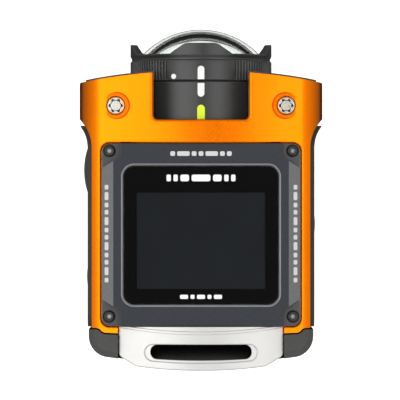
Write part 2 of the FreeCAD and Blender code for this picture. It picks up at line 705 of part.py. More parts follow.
def tail_frame():
    start_y = SEAM_Y + SEAM_GAP
    frame = tail_form().cut(block(centred(FAR), (-FAR, start_y), (-FAR, SPLIT_BACK_Z)))
    upper = block(centred(FAR), (-FAR, FAR), (SPLIT_BACK_Z, FAR))
    frame = frame.cut(tongue_zone(SEAM_GAP).common(upper))
    frame = frame.cut(block(centred(FAR), (-FAR, 26.4), (-FAR, FAR)))
    tongue = block(centred(16.0), (22.6, BULKHEAD_Y[0] + 0.5), (SHELL_FLOOR + WALL, 5.2))
    hinge_end = (DOOR_Z[0] - DOOR_GAP, DOOR_Z[1] + DOOR_GAP)
    above_guard = block(centred(GUARD_HALF_WIDTH + SKIN), (26.0, FAR), (30, FAR)).cut(
        guard_cylinder(GUARD_RADIUS - GUARD_THICKNESS - 0.1))
    room = block(centred(23.4), (-FAR, BULKHEAD_Y[0]), (3.4, 30.0))
    hinge_block = block((-25.5, -18.3), (27.6, BULKHEAD_Y[1]), (3.4, 30.0))
    foot = block((FOOT_X[0] - 0.1, FOOT_X[1] + 0.1), (FOOT_Y[0] - 0.1, FOOT_Y[1] + 0.1),
                 (FOOT_Z, FAR))
    frame = frame.cut(cut_all(room, [hinge_block]))
    frame = joined([frame, tongue])
    tools = [
        above_guard, door_zone(DOOR_GAP),
        rod(HINGE_X, HINGE_Y, hinge_end[0], HINGE_RELIEF, hinge_end[1] - hinge_end[0]),
        rod(HINGE_X, HINGE_Y, PIN_Z[0], PIN_RADIUS, PIN_Z[1] - PIN_Z[0]),
        block(centred(STRAP_RECESS_HALF_WIDTH), (STRAP_RECESS_Y, FAR), (STRAP_RECESS_FLOOR, FAR)),
        block(centred(BATTERY_X + 0.5), (20, FAR), (BATTERY_Z[0] - 0.4, BATTERY_Z[1] + 0.4)),
        block(centred(CATCH_X + 0.15), (CATCH_Y[0] - 0.1, FAR),
              (CATCH_Z[0] - 0.5, CATCH_Z[1] + CATCH_TRAVEL + 0.2)),
        block((USB_X[0] - 0.2, USB_X[1] + 0.2), (20, FAR),
              (BOARD_Z[1] - 0.2, BOARD_Z[1] + USB_HEIGHT + 0.2)),
        block((HDMI_X[0] - 0.2, HDMI_X[1] + 0.2), (20, FAR),
              (BOARD_Z[1] - 0.2, BOARD_Z[1] + HDMI_HEIGHT + 0.2)),
        block((CARD_X[0] - 0.3, CARD_X[1] + 0.3), (20, FAR), (CARD_Z[0] - 0.4, CARD_Z[1] + 0.4)),
        block((DOOR_X[1], DOOR_X[1] + LATCH_TRAVEL + 1.0),
              (LATCH_PLATE_Y[0] - 0.15, LATCH_PLATE_Y[1] + 0.15),
              (LATCH_Z - LATCH_BOLT_HALF_HEIGHT - 0.3, LATCH_Z + LATCH_BOLT_HALF_HEIGHT + 0.3)),
    ]
    tools += both_sides(foot)
    for x in (GUARD_SCREW[0], -GUARD_SCREW[0]):
        tools.append(rod(x, 20, GUARD_SCREW[1], 0.85, FAR, Y_AXIS))
        tools.append(rod(x, 33.1, GUARD_SCREW[1], 1.6, FAR, Y_AXIS))
    tools += [rod(x, y, 0, 0.95, 4.6) for x, y in sided(BASE_SCREWS[1:])]
    return cut_all(frame, tools)


def latch_channel():
    z_plate = LATCH_PLATE_HALF_HEIGHT + LATCH_GAP
    z_bolt = LATCH_BOLT_HALF_HEIGHT + LATCH_GAP
    z_knob = LATCH_KNOB_HALF_HEIGHT + LATCH_GAP
    y = (LATCH_PLATE_Y[0] - LATCH_GAP, LATCH_PLATE_Y[1] + LATCH_GAP)
    return joined([
        block((LATCH_PLATE_X[0] - LATCH_GAP, LATCH_PLATE_X[1] + LATCH_TRAVEL + LATCH_GAP), y,
              (LATCH_Z - z_plate, LATCH_Z + z_plate)),
        block((LATCH_PLATE_X[0], DOOR_X[1] + 1), y, (LATCH_Z - z_bolt, LATCH_Z + z_bolt)),
        block((LATCH_KNOB_X[0] - LATCH_GAP, LATCH_KNOB_X[1] + LATCH_TRAVEL + LATCH_GAP),
              (LATCH_PLATE_Y[1], FAR), (LATCH_Z - z_knob, LATCH_Z + z_knob)),
    ])


def battery_door():
    plate = tail_form().common(door_zone())
    plate = plate.cut(block((-FAR, FAR), (-FAR, DOOR_INNER_Y), (-FAR, FAR)))
    near = block((-FAR, HINGE_GROOVE_X), (-FAR, FAR), (-FAR, FAR))
    web = block((HINGE_X, HINGE_GROOVE_X + 0.5), (DOOR_INNER_Y, DOOR_INNER_Y + 1.2), DOOR_Z)
    barrel = rod(HINGE_X, HINGE_Y, DOOR_Z[0], HINGE_RADIUS, DOOR_Z[1] - DOOR_Z[0])
    door = joined([plate.cut(near), web, barrel])
    pin = rod(HINGE_X, HINGE_Y, 0, PIN_RADIUS + PIN_CLEARANCE, FAR)
    return cut_all(door, [pin, latch_channel()])


def door_latch():
    plate = block(LATCH_PLATE_X, LATCH_PLATE_Y,
                  (LATCH_Z - LATCH_PLATE_HALF_HEIGHT, LATCH_Z + LATCH_PLATE_HALF_HEIGHT))
    bolt = block((LATCH_PLATE_X[0], LATCH_BOLT_X), LATCH_PLATE_Y,
                 (LATCH_Z - LATCH_BOLT_HALF_HEIGHT, LATCH_Z + LATCH_BOLT_HALF_HEIGHT))
    knob = block(LATCH_KNOB_X, (LATCH_PLATE_Y[1] - 0.2, 34.75),
                 (LATCH_Z - LATCH_KNOB_HALF_HEIGHT, LATCH_Z + LATCH_KNOB_HALF_HEIGHT))
    grooves = [block((x, x + 0.45), (34.35, FAR), (-FAR, FAR)) for x in (12.0, 13.15, 14.3)]
    return joined([plate, bolt, cut_all(knob, grooves)])


def door_gasket():
    x, z, t = (-18.6, 18.9), (5.9, 28.1), 1.0
    y = (BULKHEAD_Y[1], DOOR_INNER_Y)
    ring = rounded_block("xz", y[0], y[1], x, z, 2.0)
    return ring.cut(rounded_block("xz", y[0], y[1], (x[0] + t, x[1] - t), (z[0] + t, z[1] - t),
                                  1.2))


def hinge_pin():
    return rod(HINGE_X, HINGE_Y, PIN_Z[0], PIN_RADIUS, PIN_Z[1] - PIN_Z[0])


# ---------------------------------------------------------------- strap guard
def guard_step(y, depth, slope):
    """Lowers the guard's top by depth in front of a steep plane, which crosses the crown in an arc."""
    top, reach = GUARD_TOP - depth, 20.0
    ahead = prism("yz", -FAR, FAR, (y - reach / slope, top - reach), (y + reach / slope, top + reach),
                  (-FAR, top + reach), (-FAR, top - reach))
    return ahead.cut(guard_cylinder(GUARD_RADIUS - depth))


def slot_mouth():
    """Outline of the lowered shelf round the strap slot."""
    end, y0 = SHELF_HALF_LENGTH, SLOT_Y[0]
    return twin_prism(
        "xy", 25, FAR, (0, y0), (end - 1.9, y0), ((end - 0.56, y0 + 0.56), (end, y0 + 1.9)),
        ((end - 0.5, 34.0), (end - 1.9, 34.66)), ((6.0, 35.05), (0, 35.15)),
    )


def strap_slot():
    end, y0 = SLOT_HALF_LENGTH, SLOT_Y[0]
    return twin_prism(
        "xy", 25, FAR, (0, y0), (end - 1.6, y0), ((end - 0.47, y0 + 0.47), (end, y0 + 1.6)),
        ((end - 0.45, 33.8), (end - 1.6, 34.3)), ((5.5, 34.52), (0, SLOT_Y[1])),
    )


def on_crown(edge):
    """True for an edge that lies on the guard's curved top."""
    axis_z = GUARD_TOP - GUARD_RADIUS
    return all(abs(math.hypot(v.X, v.Z - axis_z) - GUARD_RADIUS) < 0.001 for v in edge.Vertexes)


def on_mouth_rim(edge):
    """Upper edges of the slot's mouth, at its ends and along its rear."""
    box = edge.BoundBox
    within = max(abs(box.XMin), abs(box.XMax)) < SHELF_HALF_LENGTH + 0.01
    behind = box.YMin > SLOT_Y[0] - 0.01 and box.YMax < GUARD_Y[1] - 1.0
    return on_crown(edge) and within and behind


def on_guard_outline(edge):
    """Upper edges of the guard's ends and rear; its front edge stays sharp."""
    return on_crown(edge) and edge.BoundBox.YMax > GUARD_Y[0] + 0.1


def guard_plate():
    """The curved plate with its stepped front, lowered slot mouth and strap slot."""
    side, corner_y = GUARD_HALF_WIDTH, 32.2
    outline = twin_prism(
        "xy", 25, FAR, (0, GUARD_Y[0]), (side, GUARD_Y[0]), (side, corner_y),
        ((side - 0.15, 33.2), (18.8, 34.0)), (15.5, 36.0), ((8.0, 36.75), (0, GUARD_Y[1])),
    )
    arch = guard_cylinder(GUARD_RADIUS).cut(guard_cylinder(GUARD_RADIUS - GUARD_THICKNESS))
    plate = softened(arch.common(outline).removeSplitter(), GUARD_EDGE_RADIUS, on_guard_outline)
    plate = plate.cut(slot_mouth().cut(guard_cylinder(GUARD_RADIUS - SHELF_DEPTH)))
    plate = softened(plate, SHELF_EDGE_RADIUS, on_mouth_rim).cut(strap_slot())
    return cut_all(plate, [guard_step(*step) for step in GUARD_STEPS])


def strap_guard():
    under = guard_cylinder(GUARD_RADIUS - GUARD_THICKNESS + 0.5)
    foot = block(FOOT_X, FOOT_Y, (FOOT_Z, 45)).common(under)
    screw_x, screw_z = GUARD_SCREW
    holes = [rod(x, 20, screw_z, 0.8, FAR, Y_AXIS) for x in (screw_x, -screw_x)]
    return cut_all(joined([guard_plate()] + both_sides(foot)), holes)


# ---------------------------------------------------------------- lens unit
def lens_barrel():
    tube = turned(
        (CELL_BORE_RADIUS, GROOVE_Y[1]), (GROOVE_RADIUS, GROOVE_Y[1]), (GROOVE_RADIUS, GROOVE_Y[0]),
        (ENTRY_RADIUS, GROOVE_Y[0]), (ENTRY_RADIUS, BARREL_Y[0]), (BARREL_RADIUS - 0.25, BARREL_Y[0]),
        (BARREL_RADIUS, BARREL_Y[0] + 0.25), (BARREL_RADIUS, BARREL_Y[1]),
        (REAR_TUBE_RADIUS, BARREL_Y[1]), (REAR_TUBE_RADIUS, REAR_TUBE_Y[1]),
        (REAR_TUBE_BORE, REAR_TUBE_Y[1]), (REAR_TUBE_BORE, REAR_TUBE_Y[0]),
        (CELL_BORE_RADIUS, REAR_TUBE_Y[0]),
    )
    entries = [wedge(k * 360 / LUG_COUNT - RELEASE_ANGLE, ENTRY_HALF_ANGLE,
                     (BARREL_Y[0] - 1, GROOVE_Y[0] + 0.5))
               .common(lens_rod(GROOVE_RADIUS, (BARREL_Y[0] - 1, GROOVE_Y[0] + 0.5)))
               for k in range(LUG_COUNT)]
    pads = [block((x - 3.0, x + 3.0), (-29.3, -23.6), (SHELL_FLOOR + WALL, 11.0))
            for x in (BASE_SCREWS[0][0], -BASE_SCREWS[0][0])]
    pads = [pad.cut(lens_rod(BARREL_RADIUS - 0.1, (-FAR, FAR))) for pad in pads]
    barrel = joined([tube] + pads)
    tools = entries + [barrel_bar(), orientation_outline()]
    tools += [rod(x, y, 0, 0.95, 7.0) for x, y in sided(BASE_SCREWS[:1])]
    tools += [rod(x, -18.6, z, 0.7, 5, Y_AXIS) for x, z in sensor_screw_places()]
    return cut_all(barrel, tools)


def sensor_screw_places():
    """Where the sensor board's screws cross the board, as (x, z)."""
    turns = [math.radians(90 + 360 / SENSOR_SCREW_COUNT * k) for k in range(SENSOR_SCREW_COUNT)]
    return [(SENSOR_SCREW_CIRCLE * math.sin(a), LENS_Z + SENSOR_SCREW_CIRCLE * math.cos(a))
            for a in turns]


def inlay(radius, outline):
    """Thin inlay on the top of a lens ring, a hair proud of it."""
    skin = lens_rod(radius + MARK_PROUD, (-FAR, FAR)).cut(lens_rod(radius - MARK_DEPTH, (-FAR, FAR)))
    return outline.common(skin)


def bar_outline(y0, y1, half_width, round_front, round_rear):
    h = half_width
    steps = []
    if round_front:
        steps += [(h, y0 + h), (h, y1 - h if round_rear else y1)]
    else:
        steps += [(h, y0), (h, y1 - h if round_rear else y1)]
    if round_rear:
        steps += [((0, y1), (-h, y1 - h))]
    else:
        steps += [(-h, y1)]
    start = (-h, y0 + h) if round_front else (-h, y0)
    first = [((0, y0), steps[0])] if round_front else [steps[0]]
    return prism("xy", LENS_Z + 10, LENS_Z + 25, start, *(first + steps[1:]))


def ring_bar():
    return inlay(RING_RADIUS, bar_outline(*RING_BAR_Y, BAR_HALF_WIDTH, True, False))


def ring_dot():
    y, radius = RELEASE_DOT
    dot = inlay(RING_RADIUS, rod(0, y, LENS_Z + 10, radius, 15))
    return spun(dot, RELEASE_DOT_ANGLE)


def barrel_bar():
    return inlay(BARREL_RADIUS, bar_outline(*BARREL_BAR_Y, BAR_HALF_WIDTH, False, True))


def orientation_outline():
    return inlay(BARREL_RADIUS, bar_outline(*ORIENTATION_Y, ORIENTATION_HALF_WIDTH, True, False))


def front_lens():
    """Fisheye front element: a deep meniscus."""
    outer, inner = FRONT_LENS_RADII
    rim = lens_rod(FRONT_LENS_RIM, (-FAR, FRONT_LENS_BACK_Y))
    solid = lens_ball(outer, FRONT_LENS_APEX_Y + outer).common(rim)
    return solid.cut(lens_ball(inner, FRONT_LENS_INNER_Y))


def lens_retainer():
    return turned((10.75, -34.3), (13.3, -34.3), (13.3, -36.7), (12.9, -37.0), (12.4, -37.0),
                  (10.3, -36.2), (10.3, -35.5))


def lens_cell():
    return turned(
        (10.5, -34.3), (13.3, -34.3), (CELL_RADIUS, -34.1), (CELL_RADIUS, -24.6), (12.5, -24.6),
        (12.5, -23.4), (CELL_RADIUS, -23.4), (CELL_RADIUS, -19.8), (5.2, -19.8), (5.2, -22.2),
        (6.2, -22.2), (6.2, -26.0), (7.2, -26.0), (7.2, -33.8), (10.5, -33.8),
    )


def inner_lens(radius, apex_y, curvature, back_y):
    """Plano-convex element, its curved face to the front."""
    return lens_ball(curvature, apex_y + curvature).common(lens_rod(radius, (-FAR, back_y)))


def image_sensor():
    half_x, half_z = SENSOR_HALF_SIZE
    return block(centred(half_x), SENSOR_Y, (LENS_Z - half_z, LENS_Z + half_z))


def lens_seal():
    return Part.makeTorus(SEAL_CENTRE_RADIUS, SEAL_CORD_RADIUS, V(0, SEAL_Y, LENS_Z), Y_AXIS)


def sensor_screws():
    group = []
    for x, z in sensor_screw_places():
        shaft = rod(x, -18.4, z, 0.65, 2.8, Y_AXIS)
        group.append(shaft.fuse(rod(x, -15.7, z, 1.2, 0.9, Y_AXIS)).removeSplitter())
    return Part.makeCompound(group)


def sensor_board():
    disc = lens_rod(SENSOR_BOARD_RADIUS, SENSOR_BOARD_Y)
    return cut_all(disc, [rod(x, -18, z, 0.75, 5, Y_AXIS) for x, z in sensor_screw_places()])


# ---------------------------------------------------------------- lens protector
def protector_dome():
    centre_y = DOME_APEX_Y + DOME_RADIUS
    cap = lens_ball(DOME_RADIUS, centre_y).cut(lens_ball(DOME_RADIUS - DOME_THICKNESS, centre_y))
    return cap.common(lens_rod(FAR, (-FAR, RING_Y[0])))


def hood_ring():
    """Hood with four petals, and a fine groove between it and the grip ring."""
    rear_radius, top_radius, seat_radius = HOOD_INNER_RADII
    groove_end, chamfer_y, full_y = HOOD_GROOVE_Y
    ring = turned(
        (rear_radius, RING_Y[0]), (HOOD_GROOVE_RADIUS, RING_Y[0]),
        (HOOD_GROOVE_RADIUS, groove_end), (HOOD_GROOVE_RADIUS + 0.1, chamfer_y),
        (RING_RADIUS, full_y), (RING_RADIUS, PETAL_TOP_Y), (top_radius, PETAL_TOP_Y),
        (seat_radius, HOOD_SEAT_Y),
    )
    foot_x, shoulder_x, top_x = PETAL_GAP_X
    bend, shoulder_y = PETAL_SHOULDER
    gap = twin_prism(
        "xy", 8, 30, (0, PETAL_RIM_Y), (foot_x, PETAL_RIM_Y), (shoulder_x, shoulder_y),
        (bend, (top_x, PETAL_TOP_Y)), (top_x, -FAR), (0, -FAR),
    )
    gap.translate(V(0, 0, LENS_Z))
    return cut_all(ring, [spun(gap, 45 + 90 * k) for k in range(4)])


def grip_ring():
    ring = turned(
        (LIP_RADIUS, RING_Y[0]), (RING_RADIUS - 0.2, RING_Y[0]), (RING_RADIUS, RING_Y[0] + 0.25),
        (RING_RADIUS, RING_Y[1] - 0.25), (RING_RADIUS - 0.25, RING_Y[1]),
        (SKIRT_RADII[1], RING_Y[1]), (SKIRT_RADII[1], SKIRT_END_Y), (SKIRT_RADII[0], SKIRT_END_Y),
        (SKIRT_RADII[0], LIP_REAR_Y), (LIP_RADIUS, LIP_REAR_Y),
    )
    lug_ring = lens_rod(LUG_RADIUS, LUG_Y).cut(lens_rod(SKIRT_RADII[1] - 0.3, LUG_Y))
    lugs = [lug_ring.common(wedge(k * 360 / LUG_COUNT, LUG_HALF_ANGLE, LUG_Y))
            for k in range(LUG_COUNT)]
    return cut_all(joined([ring] + lugs), [ring_bar(), ring_dot()])


# ---------------------------------------------------------------- screen
def corner_pocket(rear):
    """Lowered corner of the bezel that holds a screw."""
    if rear:
        points = [(19.25, FAR), (19.25, 23.9), ((19.65, 22.7), (20.7, 21.85)), (24.3, 19.6),
                  (FAR, 19.6), (FAR, FAR)]
    else:
        points = [(19.15, -FAR), (19.15, -14.9), ((19.6, -13.8), (20.6, -13.05)), (24.3, -10.8),
                  (FAR, -10.8), (FAR, -FAR)]
    return prism("xy", POCKET_FLOOR, FAR, *points)


def screen_bezel():
    plate = rounded_block("xy", BEZEL_FLOOR, BEZEL_TOP, centred(BEZEL_HALF_WIDTH), BEZEL_Y,
                          BEZEL_CORNER_RADIUS)
    slope = prism("xz", -FAR, FAR, (BEZEL_FLAT_HALF_WIDTH, BEZEL_TOP), (FAR, BEZEL_TOP),
                  (FAR, BEZEL_SIDE_TOP), (BEZEL_HALF_WIDTH, BEZEL_SIDE_TOP))
    window = rounded_block("xy", 0, FAR, centred(SCREEN_HALF_WIDTH + 0.05),
                           (SCREEN_Y[0] - 0.05, SCREEN_Y[1] + 0.05), SCREEN_CORNER_RADIUS)
    tools = both_sides(slope) + [window]
    tools += both_sides(corner_pocket(False)) + both_sides(corner_pocket(True))
    tools += [rod(x, y, 0, 1.0, FAR) for x, y in sided(BEZEL_SCREWS)]
    tools += [rod(x, y, BEZEL_SCREW_SEAT, BEZEL_COUNTERBORE_RADIUS, FAR)
              for x, y in sided(BEZEL_SCREWS)]

    def near_window(box):
        inside_x = max(abs(box.XMin), abs(box.XMax)) < SCREEN_HALF_WIDTH + 0.2
        return inside_x and box.YMin > SCREEN_Y[0] - 0.2 and box.YMax < SCREEN_Y[1] + 0.2

    return bevelled(cut_all(plate, tools), WINDOW_BEVEL, at_level("Z", BEZEL_TOP, near_window))


def screen_glass():
    glass = rounded_block("xy", SCREEN_TOP - GLASS_THICKNESS, SCREEN_TOP,
                          centred(SCREEN_HALF_WIDTH), SCREEN_Y, SCREEN_CORNER_RADIUS)
    return bevelled(glass, GLASS_BEVEL, at_level("Z", SCREEN_TOP))


def screen_mask():
    top = SCREEN_TOP - GLASS_THICKNESS
    mask = rounded_block("xy", top - MASK_THICKNESS, top, centred(SCREEN_HALF_WIDTH), SCREEN_Y,
                         SCREEN_CORNER_RADIUS)
    return mask.cut(block(centred(ACTIVE_HALF_WIDTH), ACTIVE_Y, (0, FAR)))


def display_panel():
    top = SCREEN_TOP - GLASS_THICKNESS - MASK_THICKNESS
    return block(centred(ACTIVE_HALF_WIDTH + 1.6), (ACTIVE_Y[0] - 3.2, ACTIVE_Y[1] + 1.4),
                 (top - 2.0, top))


def display_flex():
    """Ribbon from the display's front edge down to the main board."""
    front = ACTIVE_Y[0] - 3.2
    return joined([block(centred(5.0), (front - 1.0, front - 0.8), (BOARD_Z[1], 37.2)),
                   block(centred(5.0), (front - 1.0, front), (37.0, 37.2))])


# ---------------------------------------------------------------- screws
def lobed_socket(x, y, floor, radius, lobes=6):
    """Tool for a star socket: a round hole with small round lobes about it."""
    socket = rod(x, y, floor, radius * 0.76, FAR)
    for k in range(lobes):
        a = math.radians(360 / lobes * k)
        lobe_x, lobe_y = x + radius * 0.78 * math.cos(a), y + radius * 0.78 * math.sin(a)
        socket = socket.fuse(rod(lobe_x, lobe_y, floor, radius * 0.22, FAR))
    return socket


def screw(x, y, seat, head, shaft, socket_radius, post_radius=0.0):
    """Upright screw with a bevelled head and a star socket, round a post where there is one."""
    head_radius, head_height = head
    shaft_radius, length = shaft
    top = seat + head_height
    cap = bevelled(rod(x, y, seat, head_radius, head_height), HEAD_BEVEL, at_level("Z", top))
    body = cap.fuse(rod(x, y, seat - length, shaft_radius, length))
    floor = top - head_height * 0.6
    socket = lobed_socket(x, y, floor, socket_radius)
    if post_radius:
        socket = socket.cut(rod(x, y, floor, post_radius, top - 0.1 - floor))
    return body.cut(socket).removeSplitter()


def shell_screws():
    return Part.makeCompound([
        screw(x, y, SHELL_SCREW_SEAT, SHELL_SCREW_HEAD, SHELL_SCREW_SHAFT, SHELL_SCREW_SOCKET,
              SHELL_SCREW_POST)
        for x, y in sided([SHELL_SCREW])])


def bezel_screws():
    return Part.makeCompound([
        screw(x, y, BEZEL_SCREW_SEAT, BEZEL_SCREW_HEAD, BEZEL_SCREW_SHAFT, BEZEL_SCREW_SOCKET)
        for x, y in sided(BEZEL_SCREWS)])


def guard_screws():
    group = []
    for x in (GUARD_SCREW[0], -GUARD_SCREW[0]):
        shaft = rod(x, 28.4, GUARD_SCREW[1], 0.8, 5.0, Y_AXIS)
        head = rod(x, 33.1, GUARD_SCREW[1], 1.5, 1.0, Y_AXIS)
        socket = rod(x, 33.5, GUARD_SCREW[1], 0.7, 2.0, Y_AXIS)
        group.append(shaft.fuse(head).cut(socket).removeSplitter())
    return Part.makeCompound(group)


def base_screws():
    group = []
    for x, y in sided(BASE_SCREWS):
        head = rod(x, y, 0.95, 1.95, 0.65)
        shaft = rod(x, y, 1.5, 0.9, 3.0)
        socket = rod(x, y, 0, 0.8, 1.3)
        group.append(head.fuse(shaft).cut(socket).removeSplitter())
    return Part.makeCompound(group)


# ---------------------------------------------------------------- buttons and switches
def button(name):
    """Rubber cap, gently curved along the body, on a flange that keeps it in the shell."""
    side, y, _, _, outer = BUTTONS[name]
    crown = rod(side * (outer - CAP_RADIUS), y, 0, CAP_RADIUS, FAR)
    cap = button_outline(name, 0.0, FLANGE_X[1] - 0.3, outer + 1.0).common(crown)

    def on_rim(edge):
        box = edge.BoundBox
        return min(abs(box.XMin), abs(box.XMax)) > outer - 1.3

    cap = softened(cap, CAP_EDGE_RADIUS, on_rim)
    flange = button_outline(name, FLANGE_LIP, *FLANGE_X)
    return joined([cap, flange])


def button_switches():
    top = FLANGE_X[0] - BUTTON_TRAVEL - SWITCH_GAP
    group = []
    for side, y, length, height, outer in BUTTONS.values():
        base = block((SWITCH_BOARD_X[1], top - 0.7), (y - 1.7, y + 1.7),
                     (BUTTON_Z - 1.7, BUTTON_Z + 1.7))
        plunger = rod(top - 0.8, y, BUTTON_Z, 0.9, 0.8, X_AXIS)
        solid = base.fuse(plunger).removeSplitter()
        group.append(solid if side > 0 else mirrored(solid))
    return Part.makeCompound(group)


def switch_boards():
    plate = block(SWITCH_BOARD_X, (-17.5, 19.5), (15.5, 24.5))
    return Part.makeCompound(both_sides(plate))


# ---------------------------------------------------------------- inside
def battery():
    return softened(block(centred(BATTERY_X), BATTERY_Y, BATTERY_Z), 1.0,
                    lambda e: e.BoundBox.YLength > 30)


def battery_bay():
    gap, t = BATTERY_GAP, BAY_WALL
    x, z = BATTERY_X + gap, (BATTERY_Z[0] - gap, BATTERY_Z[1] + gap)
    y = (BATTERY_Y[0] - 1.6, BULKHEAD_Y[0] - 0.05)
    outer = block(centred(x + t), y, (z[0] - 0.7, z[1] + t))
    return cut_all(outer, [block(centred(x), (y[0] + t, FAR), z),
                           block((-9, -3), (-FAR, y[0] + 2), (z[0] + 1.5, z[1] - 1.5))])


def battery_contacts():
    y = BATTERY_Y[0]
    return Part.makeCompound([block((x, x + 1.0), (y - 1.55, y - 0.05), (9.6, 12.8))
                              for x in (-8.4, -6.5, -4.6)])


def battery_catch():
    plate = block(centred(CATCH_X), CATCH_Y, CATCH_Z)
    grooves = [block(centred(CATCH_X - 0.6), (CATCH_Y[1] - 0.35, FAR), (z, z + 0.5))
               for z in (16.0, 17.0, 18.0)]
    return cut_all(plate, grooves)


def main_board():
    board = block(centred(BOARD_X), BOARD_Y, BOARD_Z)
    return board.cut(rod(16.5, 12.0, 0, 1.1, FAR)).removeSplitter()


def board_chips():
    z = BOARD_Z[1]
    places = [((-9, 3), (-4, 8), 1.3), ((-17, -11), (-2, 6), 1.0), ((6, 12), (-6, 2), 1.0),
              ((-16, -8), (11, 17), 0.9)]
    return Part.makeCompound([block(x, y, (z, z + h)) for x, y, h in places])


def socket_shell(x, height):
    z = BOARD_Z[1]
    shell = block(x, (SOCKET_FRONT_Y, SOCKET_REAR_Y), (z, z + height))
    mouth = block((x[0] + 0.4, x[1] - 0.4), (SOCKET_FRONT_Y + 1, FAR), (z + 0.4, z + height - 0.4))
    tongue = block((x[0] + 1.4, x[1] - 1.4), (SOCKET_FRONT_Y + 0.5, SOCKET_REAR_Y - 0.9),
                   (z + height / 2 - 0.3, z + height / 2 + 0.3))
    return joined([shell.cut(mouth), tongue])


def card_socket():
    z = BOARD_Z[1]
    body = block((CARD_X[0] - 1.0, CARD_X[1] + 1.0), (13.5, 28.2), (z, CARD_Z[1] + 0.5))
    return body.cut(block((CARD_X[0] - 0.1, CARD_X[1] + 0.1), (CARD_Y[0] - 0.1, FAR),
                          (CARD_Z[0] - 0.1, CARD_Z[1] + 0.1)))


def memory_card():
    x, y = CARD_X, CARD_Y
    return prism("xy", CARD_Z[0], CARD_Z[1], (x[0], y[1]), (x[1], y[1]), (x[1], y[0] + 7),
                 (x[1] - 1.5, y[0] + 5.5), (x[1] - 1.5, y[0]), (x[0], y[0]))


# ---------------------------------------------------------------- base
def pad_outline(grow, low, high):
    return rounded_block("xy", low, high, centred(PAD_HALF_WIDTH + grow),
                         (PAD_Y[0] - grow, PAD_Y[1] + grow), PAD_CORNER_RADIUS + grow)


def base_pad():
    pad = pad_outline(0.0, 0.0, PAD_TOP)
    grooves = [block(centred(PAD_GROOVE_HALF_LENGTH), (y, y + PAD_GROOVE_WIDTH),
                     (-1, PAD_GROOVE_DEPTH)) for y in PAD_GROOVES_Y]
    pad = bevelled(pad, 0.3, at_level("Z", 0.0))
    return cut_all(pad, [rod(0, 0, -1, INSERT_RADIUS + 0.1, 5)] + grooves)


def tripod_insert():
    solid = rod(0, 0, 0, INSERT_RADIUS, INSERT_TOP).fuse(
        rod(0, 0, SHELL_FLOOR + WALL, INSERT_FLANGE_RADIUS, 1.4))
    return cut_all(solid, [rod(0, 0, 0, TRIPOD_BORE_RADIUS, TRIPOD_BORE_DEPTH)])


# ---------------------------------------------------------------- sound
def speaker():
    x, z = SPEAKER
    return rod(x, SOUND_Y, z, 3.6, 2.6, Y_AXIS)


def microphones():
    x, z = MICROPHONE
    return Part.makeCompound([rod(side * x, SOUND_Y, z, 1.7, 1.2, Y_AXIS) for side in (1, -1)])


# ---------------------------------------------------------------- assembly
def assembly():
    nodes = {
        "protector_dome": protector_dome(),
        "hood_ring": hood_ring(),
        "grip_ring": grip_ring(),
        "ring_marks": Part.makeCompound([ring_bar(), ring_dot()]),
        "lens_barrel": lens_barrel(),
        "barrel_mark": barrel_bar(),
        "orientation_mark": orientation_outline(),
        "lens_cell": lens_cell(),
        "lens_retainer": lens_retainer(),
        "front_lens": front_lens(),
        "second_lens": inner_lens(*SECOND_LENS),
        "third_lens": inner_lens(*THIRD_LENS),
        "lens_seal": lens_seal(),
        "ir_filter": lens_rod(FILTER_RADIUS, FILTER_Y),
        "image_sensor": image_sensor(),
        "sensor_board": sensor_board(),
        "sensor_screws": sensor_screws(),
        "top_shell": top_shell(),
        "lower_shell": lower_shell(),
        "front_cover": front_cover(),
        "shell_screws": shell_screws(),
        "base_screws": base_screws(),
        "base_pad": base_pad(),
        "tripod_insert": tripod_insert(),
        "tail_frame": tail_frame(),
        "battery_door": battery_door(),
        "door_latch": door_latch(),
        "door_gasket": door_gasket(),
        "hinge_pin": hinge_pin(),
        "strap_guard": strap_guard(),
        "guard_screws": guard_screws(),
        "screen_bezel": screen_bezel(),
        "bezel_screws": bezel_screws(),
        "screen_glass": screen_glass(),
        "screen_mask": screen_mask(),
        "display_panel": display_panel(),
        "display_flex": display_flex(),
        "button_switches": button_switches(),
        "switch_boards": switch_boards(),
        "main_board": main_board(),
        "board_chips": board_chips(),
        "battery": battery(),
        "battery_bay": battery_bay(),
        "battery_contacts": battery_contacts(),
        "battery_catch": battery_catch(),
        "usb_socket": socket_shell(USB_X, USB_HEIGHT),
        "hdmi_socket": socket_shell(HDMI_X, HDMI_HEIGHT),
        "card_socket": card_socket(),
        "memory_card": memory_card(),
        "speaker": speaker(),
        "microphones": microphones(),
    }
    for side, name in ((1, "right_grip"), (-1, "left_grip")):
        grip = side_grip()
        nodes[name] = grip if side > 0 else mirrored(grip)
    for name in BUTTONS:
        nodes[name] = button(name)
    for name in ("right_grip", "left_grip"):
        nodes[name] = cut_all(nodes[name], button_holes())
    return nodes


os.makedirs("parts", exist_ok=True)
for node, shape in assembly().items():
    if not shape.isValid():
        print("not valid:", node)
    print(node, len(shape.Solids), round(shape.Volume, 2))
    shape.exportStep("parts/" + node + ".step")
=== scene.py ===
"""Looks of the action camera: studio, materials and the finer meshes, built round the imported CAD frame.

Everything is in metres in the CAD frame: +Z out of the screen, -Y towards the lens, origin on the base.
"""

import json
import math

